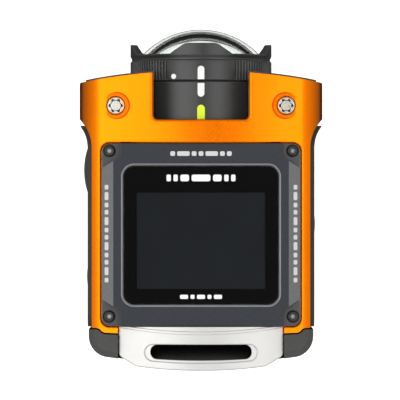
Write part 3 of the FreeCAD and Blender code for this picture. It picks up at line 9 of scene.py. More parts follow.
import bpy
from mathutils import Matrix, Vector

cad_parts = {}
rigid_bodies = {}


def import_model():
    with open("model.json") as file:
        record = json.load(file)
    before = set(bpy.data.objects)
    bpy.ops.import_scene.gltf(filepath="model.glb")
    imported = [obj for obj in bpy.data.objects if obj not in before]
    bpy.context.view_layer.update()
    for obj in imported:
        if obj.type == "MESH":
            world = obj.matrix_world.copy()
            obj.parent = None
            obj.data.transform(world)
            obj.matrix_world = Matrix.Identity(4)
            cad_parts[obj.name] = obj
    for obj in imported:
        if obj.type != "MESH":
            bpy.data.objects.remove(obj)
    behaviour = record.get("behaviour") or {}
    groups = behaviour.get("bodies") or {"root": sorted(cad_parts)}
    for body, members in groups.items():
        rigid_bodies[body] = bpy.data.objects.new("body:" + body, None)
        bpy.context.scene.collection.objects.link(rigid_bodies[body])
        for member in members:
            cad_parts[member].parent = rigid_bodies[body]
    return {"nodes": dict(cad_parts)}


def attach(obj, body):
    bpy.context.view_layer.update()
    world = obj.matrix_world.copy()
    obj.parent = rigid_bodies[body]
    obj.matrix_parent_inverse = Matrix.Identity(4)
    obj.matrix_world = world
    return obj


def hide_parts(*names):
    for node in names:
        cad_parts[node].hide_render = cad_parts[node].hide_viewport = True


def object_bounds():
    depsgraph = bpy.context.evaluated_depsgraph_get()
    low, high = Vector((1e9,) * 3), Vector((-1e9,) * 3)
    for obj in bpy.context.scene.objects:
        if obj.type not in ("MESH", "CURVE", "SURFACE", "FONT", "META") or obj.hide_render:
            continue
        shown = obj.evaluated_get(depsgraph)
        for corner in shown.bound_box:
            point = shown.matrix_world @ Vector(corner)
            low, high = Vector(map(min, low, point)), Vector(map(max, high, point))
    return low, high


# ---------------------------------------------------------------- settings
MM = 0.001

CAMERA_PLACE = (0.24 * MM, -3.6 * MM, 1.032)
CAMERA_TURN = math.pi
CAMERA_LENS = 375.0
CAMERA_SENSOR = 36.0

CAMERA_CLIP = (0.05, 50.0)

FLOOR_HALF = 6.0
FLOOR_GLOW = 1.0
FLOOR_TONE = 0.5
FLOOR_DROP = 0.05 * MM        # the disc lies this far under the object, and the wide floor as far again
NEAR_FLOOR_RADIUS = 0.0515    # rays bent hard by the dome miss this disc and show its rim dark
NEAR_FLOOR_SIDES = 96

# Softboxes: name, the two angles from straight up that they fill, and radiance.
SOFTBOXES = (("key", 4.5, 42.0, 2.10), ("fill", -11.0, -37.0, 1.75))
SOFTBOX_DISTANCE = 0.9
SOFTBOX_DEPTH = 0.75
# Surrounding light by height: 0 is straight down, 0.5 the horizon and 1 straight up.
WORLD_LEVELS = (
    (0.0, 0.01), (0.18, 0.02), (0.24, 0.30), (0.45, 0.45), (0.55, 0.60),
    (0.80, 0.85), (0.93, 0.75), (0.98, 0.35), (0.998, 0.15),
)

# Places below are in millimetres, in the CAD frame.
LENS_Z = 21.6
RING_RADIUS = 17.1
RING_Y = (-37.2, -32.15)
RING_INSIDE = 13.7
SKIRT_RADIUS = 15.2
SKIRT_Y = -28.6
RING_LIP = (13.3, -36.8)      # radius and rear end of the lip that holds the dome
LUG_RADIUS = (15.0, 16.0)
LUG_Y = (-30.9, -28.7)
LUG_HALF_ANGLE = 10.0
LUG_ANGLES = (0.0, 120.0, 240.0)
LUG_STEPS = 6                 # steps on each side of a lug's middle
RIDGE_COUNT = 120
RIDGE_STEPS = 8               # steps round the ring for each ridge
RIDGE_DEPTH = 0.45
RIDGE_STEEPNESS = 0.9
SMOOTH_HALF_ANGLE = 28.7      # plain panel round the white bar
MARK_PROUD = 0.03
SHARP_DEG = 35.0

NOTCH_HALF_WIDTH = 11.45
NOTCH_REAR = -22.65
NOTCH_PAINT_Z = 40.3          # the lacquer ends here on the notch's walls
CREVICE_SHADE_FROM_Z = 20.0         # painted crevice shade only above this; below it the floor itself would count as a crevice
BEZEL_TOP = 40.6
POCKET_FLOOR = 39.2
GLASS_TOP = 40.45
STRIP_INNER_X = 20.9
STRIP_SLOPE = 1.5 / 2.8
PRINT_THICKNESS = 0.02
PRINT_LIFT = 0.002            # gap that keeps a print off the flat face under it
STRIP_PRINT_LIFT = 0.005
PRINT_CORNER_SHARE = 0.55     # corner radius of a tick, as a share of its smaller half-size
# Rows of ticks: half-length, y, half-height, widths in proportion, and the gap between them.
BEZEL_TICKS = (7.3, -14.65, 0.55, (1.0, 1.0, 2.6, 1.0, 1.0, 2.6, 1.0), 0.45)
GLASS_TICKS = (8.2, -8.85, 0.80, (1.2, 1.2, 2.4, 5.2, 2.4, 1.2, 1.2), 0.7)
GLASS_DASHES = (5.0, 19.45, 0.50, (2.0, 1.0, 2.0, 1.0, 2.0), 0.6)
STRIP_DASH_X = 22.5
STRIP_DASH_START = -7.2
STRIP_DASH_COUNT = 12
STRIP_DASH_HALF_LENGTHS = (0.55, 0.95, 0.55)
STRIP_DASH_HALF_WIDTH = 0.45
STRIP_DASH_CORNER = 0.25
STRIP_DASH_GAP = 0.62
BEZEL_SCREW_X = 21.85
BEZEL_SCREW_Y = (-15.3, 24.15)

# ---------------------------------------------------------------- start
for left_over in list(bpy.data.objects):
    bpy.data.objects.remove(left_over)

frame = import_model()
CAD_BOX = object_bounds()
NODES = frame["nodes"]


# ---------------------------------------------------------------- node helpers
def add(tree, kind, inputs, output=0, **settings):
    """Adds one shader node; each input is a number, a colour or another node's output."""
    made = tree.nodes.new(kind)
    for name, value in settings.items():
        setattr(made, name, value)
    for key, value in inputs.items():
        if isinstance(value, bpy.types.NodeSocket):
            tree.links.new(value, made.inputs[key])
        else:
            made.inputs[key].default_value = value
    return made.outputs[output]


def grey(value):
    return (value, value, value, 1.0)


def colour(red, green, blue):
    return (red, green, blue, 1.0)


def noise(tree, place, cell_mm, detail=2.0, rough=0.5, stretch=(1.0, 1.0, 1.0)):
    """Noise whose grain is about cell_mm across, in the object's own metres."""
    scaled = add(tree, "ShaderNodeMapping", {"Vector": place, "Scale": stretch})
    return add(
        tree,
        "ShaderNodeTexNoise",
        {"Vector": scaled, "Scale": 1.0 / (cell_mm * MM), "Detail": detail, "Roughness": rough},
    )


def cells(tree, place, cell_mm, output="Distance"):
    """Voronoi cells about cell_mm across."""
    return add(
        tree, "ShaderNodeTexVoronoi", {"Vector": place, "Scale": 1.0 / (cell_mm * MM)}, output=output
    )


def remap(tree, value, low, high, to_low, to_high):
    return add(
        tree,
        "ShaderNodeMapRange",
        {"Value": value, "From Min": low, "From Max": high, "To Min": to_low, "To Max": to_high},
    )


def math_node(tree, operation, first, second=0.0):
    return add(tree, "ShaderNodeMath", {0: first, 1: second}, operation=operation)


def times(tree, first, second):
    return math_node(tree, "MULTIPLY", first, second)


def split_xyz(tree, vector):
    """The X, Y and Z outputs of a vector."""
    made = tree.nodes.new("ShaderNodeSeparateXYZ")
    tree.links.new(vector, made.inputs[0])
    return made.outputs["X"], made.outputs["Y"], made.outputs["Z"]


def one_channel(tree, shade):
    """The first channel of a colour, used as a random number for each cell."""
    return add(tree, "ShaderNodeSeparateColor", {"Color": shade}, output=0)


def within(tree, value, low, high):
    """1 where a value lies between low and high."""
    above = math_node(tree, "GREATER_THAN", value, low)
    below = math_node(tree, "LESS_THAN", value, high)
    return times(tree, above, below)


def blend_colours(tree, factor, first, second):
    """Mixes two colours by a factor."""
    made = tree.nodes.new("ShaderNodeMix")
    made.data_type = "RGBA"
    sockets = {s.identifier: s for s in made.inputs}
    wanted = {"Factor_Float": factor, "A_Color": first, "B_Color": second}
    for name, value in wanted.items():
        if isinstance(value, bpy.types.NodeSocket):
            tree.links.new(value, sockets[name])
        else:
            sockets[name].default_value = value
    return next(s for s in made.outputs if s.identifier == "Result_Color")


def soft_edges(tree, radius_mm):
    """A normal that rounds sharp edges off by radius_mm."""
    return add(tree, "ShaderNodeBevel", {"Radius": radius_mm * MM}, samples=6)


def edge_factor(tree, radius_mm):
    """1 near a sharp edge and 0 away from it."""
    rounded = soft_edges(tree, radius_mm)
    plain = add(tree, "ShaderNodeNewGeometry", {}, output="Normal")
    likeness = add(
        tree, "ShaderNodeVectorMath", {0: rounded, 1: plain}, output="Value", operation="DOT_PRODUCT"
    )
    return remap(tree, likeness, 0.80, 0.99, 1.0, 0.0)


def painted_crevice_shade(tree, reach_mm, low, high):
    """Mask for painted shade: 1 deep in crevices and 0 on open surfaces."""
    openness = add(
        tree, "ShaderNodeAmbientOcclusion", {"Distance": reach_mm * MM}, output="AO", samples=8
    )
    return remap(tree, openness, low, high, 1.0, 0.0)


def start_material(name, **values):
    """A new material; values go straight onto the Principled shader's sockets."""
    material = bpy.data.materials.new(name)
    material.use_nodes = True
    tree = material.node_tree
    shader = next(n for n in tree.nodes if n.type == "BSDF_PRINCIPLED")
    for socket, value in values.items():
        shader.inputs[socket.replace("_", " ")].default_value = value
    place = add(tree, "ShaderNodeTexCoord", {}, output="Object")
    return material, tree, shader, place


def plug(tree, shader, socket, value):
    tree.links.new(value, shader.inputs[socket])


def bump(tree, shader, height, depth_mm, strength=1.0, normal=None):
    """Bumps the shader by height times depth_mm."""
    inputs = {"Height": height, "Distance": depth_mm * MM, "Strength": strength}
    if normal is not None:
        inputs["Normal"] = normal
    plug(tree, shader, "Normal", add(tree, "ShaderNodeBump", inputs))


# ---------------------------------------------------------------- materials
def make_orange_paint():
    """Satin metallic orange lacquer with fine flakes and a painted highlight along its edges; the notch's
    walls are bare moulded grey.
    """
    material, tree, shader, place = start_material("orange_paint")
    flake = one_channel(tree, cells(tree, place, 0.14, output="Color"))
    drift = remap(tree, noise(tree, place, 14.0), 0.35, 0.65, 0.0, 1.0)
    shade = blend_colours(tree, drift, colour(0.96, 0.192, 0.0018), colour(1.0, 0.207, 0.0024))
    speck = blend_colours(tree, times(tree, flake, 0.25), shade, colour(1.0, 0.28, 0.006))
    # Painted highlight: edges lightened to yellow-orange.
    wear_and_highlight = edge_factor(tree, 0.22)
    painted = blend_colours(tree, times(tree, wear_and_highlight, 0.35), speck, colour(1.0, 0.45, 0.05))
    x, y, z = split_xyz(tree, place)
    across = within(tree, x, -NOTCH_HALF_WIDTH * MM, NOTCH_HALF_WIDTH * MM)
    along = within(tree, y, -1.0, NOTCH_REAR * MM)
    below = within(tree, z, 0.0, NOTCH_PAINT_Z * MM)
    bare = times(tree, times(tree, across, along), below)
    moulded = blend_colours(tree, noise(tree, place, 0.4, detail=3.0), grey(0.36), grey(0.46))
    plug(tree, shader, "Base Color", blend_colours(tree, bare, painted, moulded))
    plug(tree, shader, "Metallic", math_node(tree, "SUBTRACT", 1.0, bare))
    plug(tree, shader, "Roughness", remap(tree, flake, 0.0, 1.0, 0.27, 0.34))
    bump(tree, shader, flake, 0.004, 0.30, soft_edges(tree, 0.25))
    return material


def make_moulded(
    name, dark, light, grain_mm, grain_depth, rough,
    edge_lift=0.25, specular=0.5, edge_mm=0.2, sheen=0.0, crevice_shade_mm=0.0, edge_tone=3.0,
):
    """Moulded plastic with a fine eroded grain and lightened edges, partly wear and partly a painted
    highlight.

    With a crevice reach set, painted shade turns it black in crevices above a set height, such as the
    strap passage.
    """
    material, tree, shader, place = start_material(
        name, Specular_IOR_Level=specular, Sheen_Weight=sheen
    )
    grain = noise(tree, place, grain_mm, detail=3.0, rough=0.6)
    drift = noise(tree, place, 9.0)
    tone = math_node(tree, "ADD", times(tree, grain, 0.6), times(tree, drift, 0.4))
    body = blend_colours(tree, remap(tree, tone, 0.38, 0.62, 0.0, 1.0), dark, light)
    # Edges lightened towards a paler tone: partly wear, partly a painted highlight.
    lift = [min(1.0, c * edge_tone) for c in light[:3]] + [1.0]
    wear_and_highlight = edge_factor(tree, edge_mm)
    final = blend_colours(tree, times(tree, wear_and_highlight, edge_lift), body, lift)
    # Painted shade: crevices above the set height go near black, and metallic so that they lose their
    # shine.
    if crevice_shade_mm:
        height = split_xyz(tree, place)[2]
        high = math_node(tree, "GREATER_THAN", height, CREVICE_SHADE_FROM_Z * MM)
        painted_shade = times(tree, painted_crevice_shade(tree, crevice_shade_mm, 0.76, 0.98), high)
        final = blend_colours(tree, painted_shade, final, grey(0.003))
        plug(tree, shader, "Metallic", painted_shade)
    plug(tree, shader, "Base Color", final)
    plug(tree, shader, "Roughness", remap(tree, grain, 0.3, 0.7, rough - 0.06, rough + 0.06))
    bump(tree, shader, grain, grain_depth, 0.6, soft_edges(tree, edge_mm))
    return material


def make_rubber(name, dark, light):
    """Soft-touch rubber: matt, a little dusty, with a leather-like skin."""
    material, tree, shader, place = start_material(
        name, Specular_IOR_Level=0.35, Sheen_Weight=0.08, Sheen_Roughness=0.5
    )
    skin = cells(tree, place, 0.55)
    dust = noise(tree, place, 5.0, detail=4.0, rough=0.65)
    body = blend_colours(tree, remap(tree, dust, 0.35, 0.7, 0.0, 1.0), dark, light)
    plug(tree, shader, "Base Color", body)
    plug(tree, shader, "Roughness", remap(tree, dust, 0.3, 0.7, 0.62, 0.78))
    bump(tree, shader, skin, 0.03, 0.5, soft_edges(tree, 0.25))
    return material


def make_bezel_slate():
    """Slate metallic print with silver-grey sloping side strips and bright cut bevels."""
    material, tree, shader, place = start_material("bezel_slate", Specular_IOR_Level=0.30)
    speck = one_channel(tree, cells(tree, place, 0.20, output="Color"))
    fine = noise(tree, place, 0.25, detail=3.0, rough=0.7)
    tone = math_node(tree, "ADD", times(tree, speck, 0.5), times(tree, fine, 0.5))
    spread = remap(tree, tone, 0.2, 0.8, 0.0, 1.0)
    face = blend_colours(tree, spread, colour(0.022, 0.025, 0.031), colour(0.034, 0.038, 0.046))
    strip = blend_colours(tree, spread, colour(0.125, 0.127, 0.134), colour(0.165, 0.167, 0.175))
    pocket = blend_colours(tree, spread, colour(0.058, 0.058, 0.060), colour(0.080, 0.080, 0.082))
    facing_x, _, facing_z = split_xyz(tree, add(tree, "ShaderNodeTexCoord", {}, output="Normal"))
    sideways = math_node(tree, "GREATER_THAN", math_node(tree, "ABSOLUTE", facing_x), 0.3)
    on_strip = times(tree, sideways, within(tree, facing_z, 0.83, 0.95))
    on_bevel = within(tree, facing_z, 0.45, 0.83)
    height = split_xyz(tree, place)[2]
    low_level = within(tree, height, (POCKET_FLOOR - 0.1) * MM, (POCKET_FLOOR + 0.1) * MM)
    body = blend_colours(tree, on_strip, blend_colours(tree, low_level, face, pocket), strip)
    cut = blend_colours(tree, on_bevel, body, colour(0.55, 0.55, 0.58))
    # Edges lightened to grey: partly wear, partly a painted highlight.
    wear_and_highlight = edge_factor(tree, 0.15)
    final = blend_colours(tree, times(tree, wear_and_highlight, 0.30), cut, grey(0.30))
    plug(tree, shader, "Base Color", final)
    plug(tree, shader, "Metallic", remap(tree, on_bevel, 0.0, 1.0, 0.25, 1.0))
    plug(tree, shader, "Roughness", remap(tree, tone, 0.3, 0.7, 0.42, 0.56))
    bump(tree, shader, tone, 0.008, 0.5, soft_edges(tree, 0.12))
    return material


def make_black_screws():
    """Blackened screws with a bright bare-steel middle and rim, partly wear and partly a painted
    highlight.
    """
    material, tree, shader, place = start_material("black_steel_wear_and_highlight", Metallic=1.0)
    x, y, _ = split_xyz(tree, place)
    off_x = math_node(tree, "SUBTRACT", math_node(tree, "ABSOLUTE", x), BEZEL_SCREW_X * MM)
    nearest = None
    for row in BEZEL_SCREW_Y:
        off_y = math_node(tree, "SUBTRACT", y, row * MM)
        squares = math_node(tree, "ADD", times(tree, off_x, off_x), times(tree, off_y, off_y))
        apart = math_node(tree, "SQRT", squares)
        nearest = apart if nearest is None else math_node(tree, "MINIMUM", nearest, apart)
    # Partly wear, partly a painted highlight: the middle of each head turns bright steel.
    bare = remap(tree, nearest, 0.35 * MM, 0.60 * MM, 0.9, 0.0)
    scuff = noise(tree, place, 0.3, detail=3.0)
    wear_and_highlight = math_node(tree, "MAXIMUM", bare, times(tree, edge_factor(tree, 0.15), 0.5))
    tone = blend_colours(tree, scuff, colour(0.030, 0.030, 0.032), colour(0.060, 0.060, 0.062))
    plug(tree, shader, "Base Color", blend_colours(tree, wear_and_highlight, tone, colour(0.34, 0.34, 0.33)))
    plug(tree, shader, "Roughness", remap(tree, scuff, 0.3, 0.7, 0.26, 0.40))
    bump(tree, shader, scuff, 0.003, 0.3, soft_edges(tree, 0.12))
    return material


def make_metal(
    name, base, rough_low, rough_high,
    streak=(1.0, 1.0, 1.0), grime=0.0, grain_mm=0.5, edge_mm=0.15, crevice_shade_mm=0.0, metallic=1.0,
):
    """Metal with fine directional polish marks and a trace of grime; its recesses can take painted shade.
    """
    material, tree, shader, place = start_material(name, Metallic=metallic)
    polish = noise(tree, place, grain_mm, detail=4.0, rough=0.6, stretch=streak)
    patch = noise(tree, place, 6.0, detail=3.0)
    dark = [c * (1.0 - grime) for c in base[:3]] + [1.0]
    surface = blend_colours(tree, remap(tree, patch, 0.3, 0.7, 0.0, 1.0), base, dark)
    # Painted shade: recesses darkened to a grime-brown, standing in for the shade there.
    if crevice_shade_mm:
        painted_shade = painted_crevice_shade(tree, crevice_shade_mm, 0.55, 0.95)
        surface = blend_colours(tree, painted_shade, surface, colour(0.100, 0.092, 0.075))
    plug(tree, shader, "Base Color", surface)
    plug(tree, shader, "Roughness", remap(tree, polish, 0.3, 0.7, rough_low, rough_high))
    bump(tree, shader, polish, 0.002, 0.3, soft_edges(tree, edge_mm))
    return material


def make_clear(name, tint, ior, roughness_low, roughness_high, specular=0.5):
    """Clear glass or clear plastic with faint smears on it."""
    material, tree, shader, place = start_material(
        name, Transmission_Weight=1.0, IOR=ior, Specular_IOR_Level=specular
    )
    smear = noise(tree, place, 7.0, detail=3.0, stretch=(1.0, 2.5, 1.0))
    near_tint = [min(1.0, c * 1.01) for c in tint[:3]] + [1.0]
    plug(tree, shader, "Base Color", blend_colours(tree, smear, tint, near_tint))
    plug(tree, shader, "Roughness", remap(tree, smear, 0.35, 0.75, roughness_low, roughness_high))
    return material


def make_print(name, base, worn_to):
    """Screen-printed ink: nearly even, with small pinholes and a slightly raised film."""
    material, tree, shader, place = start_material(name, Roughness=0.5)
    pinholes = noise(tree, place, 0.22, detail=2.0)
    spots = remap(tree, pinholes, 0.55, 0.8, 0.0, 1.0)
    plug(tree, shader, "Base Color", blend_colours(tree, spots, base, worn_to))
    bump(tree, shader, pinholes, 0.004, 0.4)
    return material


def make_board():
    """Solder mask over copper traces."""
    material, tree, shader, place = start_material("board_mask", Coat_Weight=0.4)
    traces = add(
        tree,
        "ShaderNodeTexBrick",
        {"Vector": place, "Scale": 420.0, "Color1": grey(0.0), "Color2": grey(0.15), "Mortar": grey(1.0)},
    )
    body = blend_colours(tree, traces, colour(0.010, 0.085, 0.040), colour(0.035, 0.200, 0.080))
    plug(tree, shader, "Base Color", body)
    plug(tree, shader, "Roughness", remap(tree, noise(tree, place, 1.5), 0.3, 0.7, 0.35, 0.5))
    return material


def dress(material, *nodes):
    """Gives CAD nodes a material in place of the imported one."""
    for name in nodes:
        for holder in NODES[name].material_slots:
            holder.material = material


graphite = make_moulded(
    "graphite_plastic", colour(0.026, 0.027, 0.026), colour(0.040, 0.041, 0.038),
    grain_mm=0.35, grain_depth=0.03, rough=0.55,
)
# Painted shade: the deep strap passage is darkened to black.
bumper_plastic = make_moulded(
    "bumper_plastic", colour(0.044, 0.045, 0.041), colour(0.062, 0.063, 0.058),
    grain_mm=0.40, grain_depth=0.030, rough=0.60, specular=0.35, crevice_shade_mm=7.0,
)
# Edges lightened eightfold: mostly a painted highlight on the rims and ridges.
barrel_plastic = make_moulded(
    "barrel_plastic", colour(0.009, 0.010, 0.009), colour(0.016, 0.017, 0.015),
    grain_mm=0.30, grain_depth=0.015, rough=0.34,
    edge_lift=0.9, specular=0.60, sheen=0.05, edge_tone=8.0,
)
cell_plastic = make_moulded(
    "cell_plastic", colour(0.006, 0.006, 0.007), colour(0.011, 0.011, 0.012),
    grain_mm=0.4, grain_depth=0.02, rough=0.6,
)
switch_plastic = make_moulded(
    "switch_plastic", colour(0.012, 0.012, 0.013), colour(0.020, 0.020, 0.021),
    grain_mm=0.4, grain_depth=0.02, rough=0.45,
)
latch_plastic = make_moulded(
    "latch_plastic", colour(0.16, 0.16, 0.16), colour(0.22, 0.22, 0.22),
    grain_mm=0.4, grain_depth=0.02, rough=0.5,
)
amber_plastic = make_moulded(
    "amber_plastic", colour(0.70, 0.22, 0.02), colour(0.80, 0.30, 0.03),
    grain_mm=0.4, grain_depth=0.02, rough=0.45,
)
battery_film = make_moulded(
    "battery_film", colour(0.05, 0.06, 0.08), colour(0.08, 0.09, 0.11),
    grain_mm=1.2, grain_depth=0.01, rough=0.35,
)
flex_film = make_moulded(
    "flex_film", colour(0.45, 0.17, 0.02), colour(0.60, 0.25, 0.04),
    grain_mm=1.5, grain_depth=0.01, rough=0.3,
)
side_rubber = make_rubber("side_rubber", colour(0.046, 0.045, 0.038), colour(0.058, 0.056, 0.048))
key_rubber = make_rubber("key_rubber", colour(0.040, 0.043, 0.038), colour(0.062, 0.066, 0.058))
mask_ink = make_moulded(
    "mask_ink", colour(0.0004, 0.0004, 0.0026), colour(0.0007, 0.0007, 0.0036),
    grain_mm=2.0, grain_depth=0.001, rough=0.7, specular=0.0,
)
panel_film = make_moulded(
    "panel_film", colour(0.0090, 0.0122, 0.0150), colour(0.0110, 0.0150, 0.0176),
    grain_mm=9.0, grain_depth=0.001, rough=0.7, specular=0.0,
)
guard_steel = make_metal(
    "guard_steel", colour(0.59, 0.585, 0.57), rough_low=0.38, rough_high=0.44,
    streak=(0.25, 4.0, 1.0), grime=0.03, grain_mm=1.2, metallic=0.6,
)
# Painted shade in the screw recesses.
screw_steel = make_metal(
    "screw_steel", colour(0.78, 0.75, 0.67), rough_low=0.22, rough_high=0.34,
    grime=0.12, grain_mm=0.3, crevice_shade_mm=0.6,
)
black_steel = make_metal(
    "black_steel", colour(0.030, 0.030, 0.032), rough_low=0.28, rough_high=0.40,
    grime=0.2, grain_mm=0.3,
)
contact_gold = make_metal("contact_gold", colour(0.95, 0.62, 0.22), rough_low=0.2, rough_high=0.3)
cover_glass = make_clear(
    "cover_glass", colour(0.97, 0.97, 0.99), ior=1.50,
    roughness_low=0.0, roughness_high=0.004, specular=0.04,
)
dome_plastic = make_clear(
    "dome_plastic", colour(0.95, 0.975, 0.945), ior=1.49, roughness_low=0.0, roughness_high=0.01
)
lens_glass = make_clear(
    "lens_glass", colour(0.95, 0.96, 0.99), ior=1.60, roughness_low=0.0, roughness_high=0.01
)
white_ink = make_print("white_ink", colour(0.84, 0.84, 0.83), colour(0.72, 0.72, 0.71))
lime_ink = make_print("lime_ink", colour(0.72, 0.92, 0.010), colour(0.60, 0.80, 0.012))
grey_ink = make_print("grey_ink", colour(0.60, 0.60, 0.60), colour(0.48, 0.48, 0.49))

dress(make_orange_paint(), "top_shell")
dress(graphite, "lower_shell", "front_cover", "battery_door")
dress(bumper_plastic, "tail_frame")
dress(barrel_plastic, "lens_barrel", "hood_ring")
dress(side_rubber, "right_grip", "left_grip", "base_pad", "door_gasket", "lens_seal")
dress(key_rubber, "shutter_button", "power_button", "mode_button", "light_button", "wireless_button")
dress(make_bezel_slate(), "screen_bezel")
dress(cover_glass, "screen_glass")
dress(mask_ink, "screen_mask")
dress(panel_film, "display_panel")
dress(dome_plastic, "protector_dome")
dress(lens_glass, "front_lens", "second_lens", "third_lens", "ir_filter")
dress(guard_steel, "strap_guard")
dress(screw_steel, "shell_screws", "sensor_screws", "hinge_pin", "tripod_insert")
dress(screw_steel, "usb_socket", "hdmi_socket", "card_socket")
dress(black_steel, "guard_screws", "base_screws")
dress(make_black_screws(), "bezel_screws")
dress(white_ink, "ring_marks", "barrel_mark")
dress(lime_ink, "orientation_mark")
dress(cell_plastic, "lens_cell", "lens_retainer", "battery_bay", "memory_card")
dress(latch_plastic, "door_latch")
dress(amber_plastic, "battery_catch")
dress(battery_film, "battery")
dress(make_board(), "main_board", "sensor_board", "switch_boards")
dress(switch_plastic, "board_chips", "image_sensor", "button_switches", "speaker", "microphones")
dress(contact_gold, "battery_contacts")
dress(flex_film, "display_flex")


# ---------------------------------------------------------------- finer meshes
def new_piece(name, vertices, faces, material, body):
    """A smooth-shaded mesh piece that rides on a CAD body."""
    mesh = bpy.data.meshes.new(name)
    mesh.from_pydata(vertices, [], faces)
    mesh.polygons.foreach_set("use_smooth", [True] * len(mesh.polygons))
    mesh.set_sharp_from_angle(angle=math.radians(SHARP_DEG))
    mesh.materials.append(material)
    mesh.update()
    piece = bpy.data.objects.new(name, mesh)
    bpy.context.scene.collection.objects.link(piece)
    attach(piece, body)
    return piece


def extend(vertices, faces, more_vertices, more_faces):
    """Adds a second mesh to the lists of a first."""
    start = len(vertices)
    vertices += more_vertices
    faces += [tuple(start + i for i in face) for face in more_faces]


def round_lens(angle_deg, radius, y):
    """The point at an angle from +Z towards +X round the lens axis."""
    angle = math.radians(angle_deg)
    return (radius * math.sin(angle) * MM, y * MM, (LENS_Z + radius * math.cos(angle)) * MM)


def swept_ring(angles, profile_at, closed):
    """Vertices and faces of a closed profile carried round the lens axis."""
    rings = [profile_at(angle) for angle in angles]
    width = len(rings[0])
    vertices = [round_lens(angle, r, y) for angle, ring in zip(angles, rings) for r, y in ring]
    faces = []
    spans = len(angles) if closed else len(angles) - 1
    for k in range(spans):
        here, there = k * width, (k + 1) % len(angles) * width
        for i in range(width):
            j = (i + 1) % width
            faces.append((here + i, there + i, there + j, here + j))
    if not closed:
        faces.append(tuple(range(width)))
        faces.append(tuple(range(len(vertices) - width, len(vertices)))[::-1])
    return vertices, faces


def ridge_drop(angle):
    """How far the grip surface lies below the ring's outside at an angle."""
    off_top = abs((angle + 180.0) % 360.0 - 180.0)
    if off_top < SMOOTH_HALF_ANGLE:
        return MARK_PROUD
    wave = math.cos(math.radians(angle * RIDGE_COUNT))
    return RIDGE_DEPTH * min(1.0, max(0.0, 0.5 - RIDGE_STEEPNESS * wave))


def grip_profile(angle):
    """The ring's cross-section at an angle, as (radius, y), with its rims rounded off."""
    drop = ridge_drop(angle)
    front, rear = RING_Y
    outside = RING_RADIUS
    return [
        (RING_LIP[0], front),
        (outside - 0.40, front),
        (outside - 0.08, front + 0.20),
        (outside - drop, front + 0.42),
        (outside - drop, rear - 0.42),
        (outside - 0.06, rear - 0.22),
        (outside - 0.28, rear),
        (SKIRT_RADIUS, rear),
        (SKIRT_RADIUS, SKIRT_Y),
        (RING_INSIDE, SKIRT_Y),
        (RING_INSIDE, RING_LIP[1]),
        (RING_LIP[0], RING_LIP[1]),
    ]


def lug_profile(_angle):
    inner, outer = LUG_RADIUS
    return [(inner, LUG_Y[0]), (outer, LUG_Y[0]), (outer, LUG_Y[1]), (inner, LUG_Y[1])]


def make_grip_ring():
    """The protector's turning ring with its ridges and the three bayonet lugs behind it."""
    steps = RIDGE_COUNT * RIDGE_STEPS
    angles = [360.0 / steps * k for k in range(steps)]
    vertices, faces = swept_ring(angles, grip_profile, True)
    for middle in LUG_ANGLES:
        turns = range(-LUG_STEPS, LUG_STEPS + 1)
        lug_angles = [middle + LUG_HALF_ANGLE * k / LUG_STEPS for k in turns]
        extend(vertices, faces, *swept_ring(lug_angles, lug_profile, False))
    piece = new_piece(
        "ridged_grip_ring", vertices, faces, barrel_plastic, "protector"
    )
    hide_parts("grip_ring")


def slab(along_x, along_y, half_x, half_y, corner, height_at):
    """A thin rounded patch of ink lying on a surface whose height is height_at(x)."""
    outline = []
    for quarter in range(4):
        sign_x = (1, -1, -1, 1)[quarter]
        sign_y = (1, 1, -1, -1)[quarter]
        for k in range(4):
            angle = math.radians(90.0 * quarter + 30.0 * k)
            x = along_x + sign_x * (half_x - corner) + corner * math.cos(angle)
            y = along_y + sign_y * (half_y - corner) + corner * math.sin(angle)
            outline.append((x, y))
    count = len(outline)
    low = [(x * MM, y * MM, height_at(x) * MM) for x, y in outline]
    high = [(x * MM, y * MM, (height_at(x) + PRINT_THICKNESS) * MM) for x, y in outline]
    faces = [tuple(range(count))[::-1], tuple(range(count, 2 * count))]
    faces += [(i, (i + 1) % count, count + (i + 1) % count, count + i) for i in range(count)]
    return low + high, faces


def make_print_piece(name, patches, height_at, material):
    """One piece made of all the patches of a row."""
    vertices, faces = [], []
    for patch in patches:
        extend(vertices, faces, *slab(*patch, height_at))
    new_piece(name, vertices, faces, material, "camera")


def row_of_ticks(half_width, y, half_height, widths, gap):
    """Patches side by side along X, centred on X = 0, scaled to fill half_width each way."""
    total = sum(widths) + gap * (len(widths) - 1)
    scale = 2.0 * half_width / total
    patches, x = [], -half_width
    for width in widths:
        half = 0.5 * width * scale
        corner = min(half, half_height) * PRINT_CORNER_SHARE
        patches.append((x + half, y, half, half_height, corner))
        x += width * scale + gap * scale
    return patches


def glass_height(_x):
    return GLASS_TOP + PRINT_LIFT


def bezel_height(_x):
    return BEZEL_TOP + PRINT_LIFT


def strip_height(x):
    return BEZEL_TOP - (abs(x) - STRIP_INNER_X) * STRIP_SLOPE + STRIP_PRINT_LIFT


def strip_dashes(side):
    """Patches one behind another along a side strip."""
    patches, y = [], STRIP_DASH_START
    for k in range(STRIP_DASH_COUNT):
        half = STRIP_DASH_HALF_LENGTHS[k % len(STRIP_DASH_HALF_LENGTHS)]
        patches.append((side * STRIP_DASH_X, y + half, STRIP_DASH_HALF_WIDTH, half, STRIP_DASH_CORNER))
        y += 2.0 * half + STRIP_DASH_GAP
    return patches


def make_prints():
    """Plain ticks and dashes where such a camera carries printed words."""
    make_print_piece("bezel_ticks", row_of_ticks(*BEZEL_TICKS), bezel_height, grey_ink)
    make_print_piece("glass_ticks", row_of_ticks(*GLASS_TICKS), glass_height, white_ink)
    make_print_piece("glass_dashes", row_of_ticks(*GLASS_DASHES), glass_height, white_ink)
    make_print_piece("right_strip_dashes", strip_dashes(1), strip_height, grey_ink)
    make_print_piece("left_strip_dashes", strip_dashes(-1), strip_height, grey_ink)


make_grip_ring()
make_prints()


